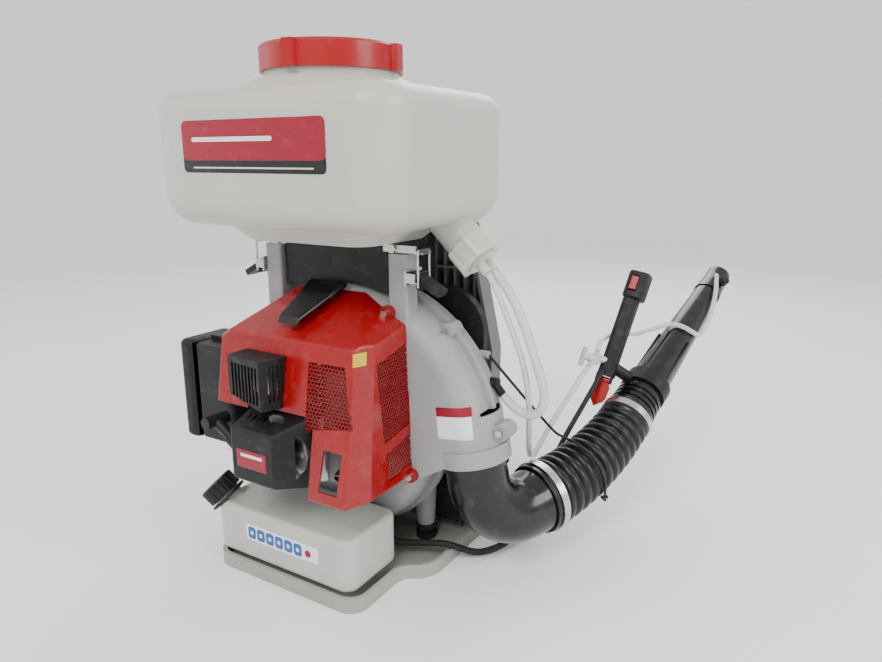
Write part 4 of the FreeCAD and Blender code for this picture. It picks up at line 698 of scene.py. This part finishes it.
# ------------------------------------------------------------ harness
def cushion():
    """Foam back pad: crowned, with pulled-in sides and two sewn channels."""
    low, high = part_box("back_pad")
    wide, tall, deep = high.x - low.x, high.z - low.z, high.y - low.y
    mid = (low + high) / 2
    columns, rows, off_frame = 72, 84, 0.0008
    channels, channel_half = (-0.36, 0.36), 0.035
    grid = bmesh.new()
    fronts, backs = [], []
    for j in range(rows + 1):
        v = -1 + 2 * j / rows
        for i in range(columns + 1):
            u = -1 + 2 * i / columns
            corner = 0.985 - 0.05 * (u * v) ** 6
            px, pz = mid.x + u * wide / 2 * corner, mid.z + v * tall / 2 * corner
            edge = max(abs(u), abs(v))
            fall = (1 - edge ** 6) ** 0.5 if edge < 1 else 0.0
            groove = sum(math.exp(-((v - at) / channel_half) ** 2) for at in channels)
            groove *= 1 - edge ** 8
            rise = deep * fall * (0.93 - 0.42 * groove - 0.08 * u * u)
            front_y = low.y + off_frame + 0.35 * deep * (1 - fall) + rise
            fronts.append(grid.verts.new((px, front_y, pz)))
            back_y = low.y + off_frame - 0.0002 + 0.30 * deep * edge ** 10
            backs.append(None if edge > 0.999 else grid.verts.new((px, back_y, pz)))
    width = columns + 1
    for j in range(rows):
        for i in range(columns):
            a, b, c, d = j * width + i, j * width + i + 1, (j + 1) * width + i + 1, (j + 1) * width + i
            grid.faces.new((fronts[a], fronts[d], fronts[c], fronts[b]))
            ring = [backs[k] if backs[k] is not None else fronts[k] for k in (a, b, c, d)]
            grid.faces.new(ring)
    bmesh.ops.recalc_face_normals(grid, faces=grid.faces)
    mesh = bpy.data.meshes.new("back_cushion")
    grid.to_mesh(mesh)
    grid.free()
    mesh.polygons.foreach_set("use_smooth", [True] * len(mesh.polygons))
    mesh.materials.append(FABRIC)
    item = bpy.data.objects.new("back_cushion", mesh)
    scene.collection.objects.link(item)
    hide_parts("back_pad")
    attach(item, "root")


def ribbon(name, spots, half, thick, material, outward):
    """A flat strap through spots, with thin rounded edges and raised stitch lines."""
    verts, faces = [], []
    stitch, raised = 1.5, 1.15
    profile = [(-half, 0), (-half, 1), (-half + stitch, raised), (-half + 2 * stitch, 1),
               (half - 2 * stitch, 1), (half - stitch, raised), (half, 1), (half, 0)]
    for index, spot in enumerate(spots):
        ahead = spots[min(index + 1, len(spots) - 1)] - spots[max(index - 1, 0)]
        normal = Vector(X).cross(ahead).normalized()
        if normal.dot(Vector(outward)) < 0:
            normal.negate()
        for across, height in profile:
            verts.append((spot + Vector(X) * across + normal * height * thick(index / (len(spots) - 1))) * MM)
    count = len(profile)
    for row in range(len(spots) - 1):
        for step in range(count):
            a, b = row * count + step, row * count + (step + 1) % count
            faces.append((a, b, b + count, a + count))
    faces.append(tuple(reversed(range(count))))
    faces.append(tuple(range((len(spots) - 1) * count, len(spots) * count)))
    item = mesh_object(name, verts, faces, material)
    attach(item, "root")
    return item


def strap_line(side):
    """The strap's arc behind the frame, from its upper to its lower anchor."""
    rear, reach, top, drop, apart, steps = 144.3, 84, 446, 374, 62, 48
    spots = []
    for step in range(steps + 1):
        share = step / steps
        bulge = reach * math.sin(math.pi * share ** 0.85) ** 1.15
        spots.append(Vector((side * apart, rear + bulge, top - drop * share)))
    return spots


cushion()
STRAP_HALF, PADDED, PLAIN = 22, 6.5, 2.2
straps = [ribbon(f"shoulder_strap_{word}", strap_line(side), STRAP_HALF,
                 lambda share: PADDED if 0.06 < share < 0.6 else PLAIN, FABRIC, (0, 1, 0))
          for side, word in ((-1, "left"), (1, "right"))]
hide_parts("shoulder_straps")
